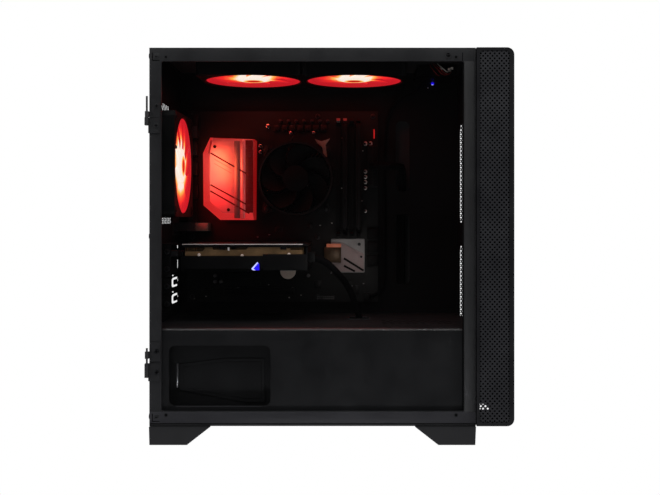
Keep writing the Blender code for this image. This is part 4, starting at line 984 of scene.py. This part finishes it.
# ================================================= graphics card ===============
GX0, GX1 = -173.6, -27.0
gs = Part("card_cooler_cover")
gs.box(GX0, GX1, -47.0, -45.0, 189.4, 206.3, DARK, 0.5)
gs.box(-79.0, GX1, -47.2, -45.2, 190.0, 208.2, DARK, 0.5)
gs.box(GX0, GX1, 56.0, 58.0, 189.4, 214.0, DARK, 0.5)
gs.box(GX0, GX0 + 2, -46.0, 57.0, 189.4, 210.0, DARK, 0.5)
gs.box(GX1 - 2, GX1, -46.0, 57.0, 189.4, 217.0, DARK, 0.5)
gs.plate("XY", [round_rect(GX0, GX1, -47, 58, 3), circle(-136.6, 5, 35.4, 64), circle(-64.0, 5, 35.4, 64)], 189.4, 191.4, DARK)
for c in (-136.6, -64.0):
    gs.ring("Z", (c, 5.0), 34.9, 36.6, 189.4, 190.4, DARK, 64)
    for k in range(3):
        a = 0.5 + k * 2 * math.pi / 3
        gs.box(c + 24 * math.cos(a) - 13, c + 24 * math.cos(a) + 13, 5 + 24 * math.sin(a) - 1.5, 5 + 24 * math.sin(a) + 1.5, 200.6, 202.4, DARK, 0.3, Matrix.Rotation(a, 4, "Z"))
    gs.rod("Z", (c, 5.0), 13.5, 200.4, 202.6, DARK, 36)
gs.done("chassis", "fan_plastic", ("gpu_shroud",))
gf = Part("card_fin_stack")
for k in range(66):
    x = -169.0 + k * 2.1
    if -116 < x < -112:
        continue
    gf.box(x, x + 0.5, -44.6, 55.0, 203.0, 215.8, COPPER)
for y in (-30, -12, 12, 34):
    gf.rod("X", (y, 209.0), 3.0, -169, -31, COPPER, 20, bevel=0.5)
gf.plate("XZ", [[(-169.2, 206.0), (-33.0, 206.0), (-33.0, 213.1), (-47.4, 213.1), (-47.4, 214.9), (-59.0, 214.9), (-59.0, 217.0), (-95.0, 217.0), (-98.5, 213.4),
                 (-136.7, 213.4), (-138.0, 217.0), (-146.0, 217.0), (-147.0, 213.5), (-149.5, 211.4), (-169.2, 211.4)]], -45.6, -44.9, COPPER)
gf.done("chassis", "silver_aluminium")
ge = Part("card_edge_rail")
ge.box(-172.5, -32.5, -47.35, -46.2, 219.3, 220.2, RAIL, 0.15)
ge.box(-172.5, -32.5, -46.9, -46.0, 216.4, 218.2, DARK, 0.2)
for x in (-126.0, -55.0):
    ge.box(x - 3.5, x + 3.5, -46.4, -45.6, 213.4, 217.0, DARK, 0.3)
ge.box(-119.6, -117.6, -46.6, -46.0, 212.6, 217.2, RAIL, 0.2)
for x, z in ((-152.8, 207.6), (-102.9, 206.6), (-48.5, 208.2)):
    ge.rod("Y", (x, z), 1.7, -46.9, -45.4, COIN, 24, bevel=0.35)
    ge.box(x - 1.0, x + 1.0, -46.96, -46.85, z - 0.2, z + 0.2, GROOVE)
for x in (-165, -140, -112, -84, -58, -36):
    for y in (-40, -5, 30):
        ge.screw("Z", (x, y), 1.6, 220.1, 220.7, SCREW)
ge.plate("XY", [round_rect(-171, -30, -44, 56, 3), round_rect(-118, -84, -20, 20, 2)], 220.1, 220.6, BLACK_ALU)
for k in range(8):
    bar_x = -160 + k * 5
    ge.box(bar_x, bar_x + 2.2, 26, 50, 220.5, 220.75, GROOVE)
ge.done("chassis", "silver_aluminium")
gl = Part("card_light_bar")
gl.plate("XZ", [[(-91.9, 190.9), (-84.9, 199.0), (-82.9, 197.0), (-82.7, 189.7), (-88.6, 189.6)]], -47.6, -46.9, BLUE_LIGHT)
gl.plate("XZ", [[(-92.2, 191.2), (-85.2, 199.3), (-83.9, 198.0), (-89.6, 191.6), (-87.0, 189.6), (-89.6, 189.6)]], -47.8, -47.2, BLUE_CORE)
gl.done("chassis", "fan_plastic")
gb = Part("card_bracket")
gb.plate("YZ", [rect(-42.6, 66.0, 181.9, 220.2), round_rect(59.6, 65.0, 212.0, 216.4, 1.0, 3), round_rect(60.6, 65.0, 186.8, 200.0, 1.0, 3)], -197.9, -197.6, PORT_DARK)
gb.box(-197.9, -186.0, -43.0, -42.2, 181.9, 220.2, DARK, 0.2)
gb.box(-197.2, -173.4, 20.0, 56.0, 216.9, 217.9, PORT_DARK, 0.2)
gb.box(-197.3, -180.0, -30.0, -14.0, 205.0, 212.0, PORT_DARK, 0.4)
gb.box(-197.3, -180.0, -6.0, 10.0, 205.0, 211.0, PORT_DARK, 0.4)
for z in (191.0, 211.2):
    gb.screw("Y", (-190.5, z), 3.2, -43.0, -45.2, SCREW)
gb.done("chassis", "zinc_plate", ("gpu_bracket",))
gp = Part("card_power_plug")
gp.box(-27.2, -19.0, -36.0, -24.0, 198.5, 210.0, DARK, 0.6)
for k in range(3):
    gp.box(-26.5, -19.5, -35.0 + k * 4.0, -33.0 + k * 4.0, 209.8, 210.4, DARK, 0.2)
gp.done("chassis", "fan_plastic")

# ================================================= board parts =================
YB = 73.0
bc = Part("board_components")
for x, z, r in ((41.0, 344.8, 2.5), (47.6, 344.8, 2.5), (41.0, 309.3, 2.3), (41.0, 302.4, 2.3), (41.0, 296.0, 2.3), (41.0, 288.4, 2.2), (41.0, 259.2, 2.0)):
    bc.rod("Y", (x, z), r, 60.0, YB, CAP_TOP, 24, bevel=0.4)
    bc.box(x - r * 0.9, x + r * 0.2, 59.93, 60.1, z - r * 0.55, z + r * 0.55, DARK)
for x, z in ((-151.1, 176.8), (-151.1, 169.2), (-143.5, 169.2), (-129.5, 176.8), (-120.6, 176.8), (-121.9, 159.7), (-52.2, 159.7), (-31.9, 176.8)):
    bc.rod("Y", (x, z), 2.2, 66.0, YB, SILVER_GREY_AND_SHADE, 20, bevel=0.4)
for k, x in enumerate((-72.0, -62.0, -52.0, -42.0, -32.0, -22.0, -12.0)):
    bc.box(x - 3.6, x + 3.6, 66.2, YB, 361.5, 368.8, BLACK_ALU, 0.7)
    bc.rod("Y", (x + 4.8, 373.8), 2.2, 64.0, YB, SCREW, 20, bevel=0.4)
for x, z, r in ((-24.7, 359.0, 1.8), (-83.2, 367.4, 2.6), (-54.0, 358.7, 2.0), (-92.7, 342.1, 2.2), (-92.7, 334.5, 2.2)):
    bc.rod("Y", (x, z), r, 63.5, YB, BRIGHT, 20, bevel=0.4)
    bc.box(x - r * 0.2, x + r * 0.8, 63.4, 63.6, z - r * 0.5, z + r * 0.4, DARK)
bc.box(44.2, 56.2, 57.8, YB, 290.0, 341.5, DARK, 0.5)
for k in range(12):
    for j in range(2):
        bc.box(45.4 + j * 5.3, 49.4 + j * 5.3, 57.6, 57.9, 291.6 + k * 4.15, 294.9 + k * 4.15, GROOVE)
bc.box(-185.0, -172.0, 60.0, YB, 386 - 24, 386 - 4, DARK, 0.5)
for z in (230.0, 213.0, 196.0):
    bc.box(43.0, 56.6, 60.0, YB, z - 7.0, z + 7.0, DARK, 0.5)
    bc.box(56.2, 56.9, 62.0, 71.0, z - 5.5, z + 5.5, GROOVE)
for z, x1 in ((177.7, -100.0), (157.4, -50.0)):
    bc.box(-139.0, x1, 62.0, YB, z - 3.7, z + 3.7, DARK, 0.4)
    bc.box(-137.5, x1 - 1.5, 61.9, 62.3, z - 0.9, z + 0.9, GROOVE)
bc.ring("Y", (-57.7, 182.6), 10.2, 11.8, 66.6, YB, DARK, 40)
bc.box(-64.0, -51.4, 69.5, YB, 169.5, 173.0, DARK, 0.4)
bc.box(-176.3, -156.7, 45.0, YB, 234.0, 244.3, PORT_BEIGE, 0.5)
for y in (50.5, 58.0, 65.5):
    bc.rod("X", (y, 239.2), 2.4, -174.0, -171.0, DARK, 20)
for x, z, w, h in ((-150, 156, 9, 9), (-96, 166, 6, 5), (-20, 165, 10, 10), (20, 165, 7, 7), (-30, 240, 6, 8), (-70, 236, 9, 5), (30, 158, 5, 12), (-165, 158, 7, 7)):
    bc.box(x - w / 2, x + w / 2, 71.2, YB, z - h / 2, z + h / 2, BLACK_ALU, 0.25)
for k in range(46):
    x = -178 + (k * 53.7) % 228
    z = 147 + (k * 31.3) % 234
    if not (-170 < x < -95 and z > 240):
        bc.box(x - 1.0, x + 1.0, 72.2, YB, z - 0.6, z + 0.6, SILVER_GREY_AND_SHADE if k % 3 else CAP_TOP, 0.15)
for k in range(9):
    bc.rod("Y", (-20 + k * 2.54, 147.4), 0.4, 66.5, YB, BRIGHT, 8)
    bc.rod("Y", (-20 + k * 2.54, 150.0), 0.4, 66.5, YB, BRIGHT, 8)
bc.box(38.5, 46.5, 63.0, YB, 145.0, 155.0, DARK, 0.4)
bc.box(51.6, 52.6, 66.0, YB, 352.0, 363.4, lamp_mat("red_led_line", (0.85, 0.02, 0.02), 0.75), 0.2)
for x, z in ((-180.5, 380.5), (-20, 380.5), (50.7, 380.5), (-180.5, 226), (-20, 226), (50.7, 226), (-180.5, 149.5), (-20, 149.5), (50.7, 149.5)):
    bc.screw("Y", (x, z), 3.2, YB, 71.0, SCREW)
    bc.rod("Y", (x, z), 2.9, 74.6, 81.1, ZINC, 6)
bc.done("chassis", "circuit_board", smooth=35)

gbx = Part("storage_shell")
gbx.box(-11.2, 10.0, 58.0, 72.6, 193.8, 213.4, GOLD_BOX, 0.7)
gbx.box(-9.4, 8.6, 56.6, 58.2, 195.4, 212.0, GOLD_BOX, 0.5)
# painted highlight: a glowing amber strip along the top edge of the gold shell
gbx.box(-8.4, 10.0, 57.2, 61.0, 213.3, 217.6, lamp_mat("amber_edge_painted_highlight", (0.30, 0.085, 0.045), 0.75), 0.4)
gbx.done("chassis", "zinc_plate")

# ================================================= top leads and status light ==
tl = Part("front_lead_cluster")
tl.tube([(122, 3, 437), (124, -3, 433), (128, -6, 428), (132, -4, 424), (138, 0, 423), (142, 6, 426)], 0.7, RED_WIRE, 8)
tl.tube([(125, 4, 437), (126, -2, 434), (131, -5, 429), (135, -3, 425.5), (141, 1, 424), (145, 8, 428)], 0.7, RED_WIRE, 8)
tl.tube([(128, 5, 437), (130, 0, 434), (134, -3, 430), (139, 0, 427), (144, 6, 429)], 0.7, PALE_WIRE, 8)
tl.tube([(119, 6, 437), (120, 0, 432), (124, -3, 426), (128, 0, 422.5), (131, 8, 423)], 0.6, RED_WIRE, 8)
for x, z in ((132.5, 431.0), (145.0, 431.5), (141.6, 430.2)):
    tl.box(x - 1.5, x + 1.5, 1.0, 5.0, z - 1.3, z + 1.3, PALE_WIRE, 0.4)
tl.rod("Z", (121.3, 75.0), 0.8, 416.4, 418.0, CAP_TOP, 12, bevel=0.3)
tl.tube([(121.3, 75, 418), (121.0, 75, 421), (120.0, 74, 424)], 0.4, DARK, 8)
tl.rod("Z", (127.2, 75.0), 1.9, 421.4, 424.2, BLUE_LIGHT, 24, bevel=0.8)
tl.rod("Z", (127.0, 75.0), 1.1, 421.0, 421.6, BLUE_CORE, 20, bevel=0.2)
tl.done("chassis", "cable_sleeve")

us = Part("top_port_tongues")
for y in (47.0, 58.0):
    us.box(128 - 5.6, 128 + 5.6, y + 3.3, y + 5.2, 428.0, 436.5, PLASTIC, 0.3)
    us.plate("XY", [round_rect(128 - 6.5, 128 + 6.5, y + 0.1, y + 5.9, 0.6, 2), round_rect(128 - 6.2, 128 + 6.2, y + 0.4, y + 5.6, 0.4, 2)], 430.0, 438.3, BRIGHT)
us.ring("Z", (128.0, 72.0), 1.8, 2.9, 436.0, 438.45, BRIGHT, 28)
us.ring("Z", (128.0, 22.0), 6.15, 6.45, 436.0, 438.45, PLASTIC, 40)
us.done("chassis", "zinc_plate")
bt = Part("power_button_ring")
bt.ring("Z", (128.0, 22.0), 3.6, 4.2, 438.3, 438.5, BRIGHT, 36)
bt.done("power_button", "black_plastic")

rp = Part("rear_port_tongues")
for z0, z1 in ((353.0, 365.5), (331.0, 343.5)):
    for y in (57.5, 66.0):
        rp.box(-196.5, -187.0, y + 2.9, y + 4.3, z0 + 0.8, z1 - 0.8, PLASTIC, 0.2)
rp.box(-194.0, -187.0, 66.2, 68.0, 308.5, 317.5, PLASTIC, 0.2)
rp.box(-195.5, -187.0, 65.4, 66.8, 277.5, 289.5, PLASTIC, 0.2)
for y, z in ((36, 376), (36, 366), (36, 352), (36, 342)):
    rp.ring("X", (y + 4, z), 1.9, 2.9, -199.1, -198.0, BRIGHT, 20)
rp.done("chassis", "zinc_plate")

hd = Part("hard_drive_cover")
hd.box(36.5, 133.0, -71.0, 72.0, 48.9, 49.5, ZINC, 0.2)
hd.box(48.0, 122.0, -50.0, 50.0, 49.4, 49.7, SILVER_GREY_AND_SHADE, 0.1)
for x in (39.5, 130.0):
    for y in (-67.0, 0.0, 68.0):
        hd.screw("Z", (x, y), 1.8, 49.4, 50.1, SCREW)
hd.done("chassis", "zinc_plate")

# ================================================= camera, world, lights ======
cam_data = bpy.data.cameras.new("camera")
cam = bpy.data.objects.new("camera", cam_data)
scene.collection.objects.link(cam)
cam.location = (0.0315, -1.185, 0.2491)
cam.rotation_euler = (math.radians(90), 0, 0)
cam_data.sensor_width = 36.0
cam_data.lens = 53.56
cam_data.shift_x = -0.0424
cam_data.shift_y = -0.0432
cam_data.clip_start = 0.01
scene.camera = cam

world = bpy.data.worlds.new("studio")
world.use_nodes = True
scene.world = world
wt = world.node_tree
wt.nodes.clear()
wo = wt.nodes.new("ShaderNodeOutputWorld")
seen = node(wt, "ShaderNodeBackground", Color=(1, 1, 1, 1), Strength=1.0)
fill = node(wt, "ShaderNodeBackground", Color=(0.93, 0.95, 1.0, 1), Strength=0.22)
path = wt.nodes.new("ShaderNodeLightPath")
wmix = wt.nodes.new("ShaderNodeMixShader")
dim = node(wt, "ShaderNodeBackground", Color=(0.93, 0.95, 1.0, 1), Strength=0.03)
gmix = wt.nodes.new("ShaderNodeMixShader")
wt.links.new(path.outputs["Is Glossy Ray"], gmix.inputs["Fac"])
wt.links.new(fill.outputs[0], gmix.inputs[1])
wt.links.new(dim.outputs[0], gmix.inputs[2])
wt.links.new(path.outputs["Is Camera Ray"], wmix.inputs["Fac"])
wt.links.new(gmix.outputs[0], wmix.inputs[1])
wt.links.new(seen.outputs[0], wmix.inputs[2])
wt.links.new(wmix.outputs[0], wo.inputs["Surface"])
scene.view_settings.view_transform = "Standard"
scene.view_settings.look = "None"
scene.view_settings.exposure = 0.0
scene.view_settings.gamma = 1.0


def area(name, loc, aim, size, power, colour=(1, 1, 1), size_y=None, spread=180.0):
    d = bpy.data.lights.new(name, "AREA")
    d.energy, d.color, d.size = power, colour, size
    d.spread = math.radians(spread)
    if size_y:
        d.shape, d.size_y = "RECTANGLE", size_y
    o = bpy.data.objects.new(name, d)
    scene.collection.objects.link(o)
    o.location = loc
    o.rotation_euler = (Vector(aim) - Vector(loc)).to_track_quat("-Z", "Y").to_euler()
    return o


area("key_top", (0.0, -0.75, 1.75), (0.0, -0.08, 0.22), 1.5, 22.0, (1, 1, 0.99), 0.9)
area("side_rear", (-1.6, -0.9, 0.5), (0, -0.1, 0.25), 0.7, 5.0, (0.96, 0.97, 1.0), 1.2)
area("side_front", (1.7, -0.9, 0.5), (0.1, -0.1, 0.25), 0.7, 9.0, (0.98, 0.98, 1.0), 1.2)
area("low_front", (0.0, -1.1, -0.75), (0.0, -0.1, 0.05), 0.8, 3.0, (0.97, 0.97, 1.0), 0.3)

# light thrown by the lit fans
area("inside_fill", (0.025, -0.092, 0.195), (0.0, 0.07, 0.205), 0.06, 0.0165, (1.0, 0.95, 0.90), 0.06)
area("red_rear_fan", (-0.170, -0.030, 0.3114), (0.0, 0.06, 0.3114), 0.09, 0.022, (1.0, 0.035, 0.030))
area("red_armour", (-0.166, -0.040, 0.302), (-0.132, 0.035, 0.292), 0.05, 0.0230, (1.0, 0.014, 0.016), 0.10, 72.0)
area("orange_armour", (-0.166, -0.045, 0.322), (-0.140, 0.035, 0.318), 0.05, 0.0060, (1.0, 0.22, 0.06), 0.05, 60.0)
area("red_top_fan_1", (-0.093, -0.015, 0.4095), (-0.093, -0.015, 0.2), 0.10, 0.055, (1.0, 0.03, 0.025))
area("red_top_fan_2", (0.027, -0.015, 0.4095), (0.027, -0.015, 0.2), 0.10, 0.03, (1.0, 0.03, 0.025))


lo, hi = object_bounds()
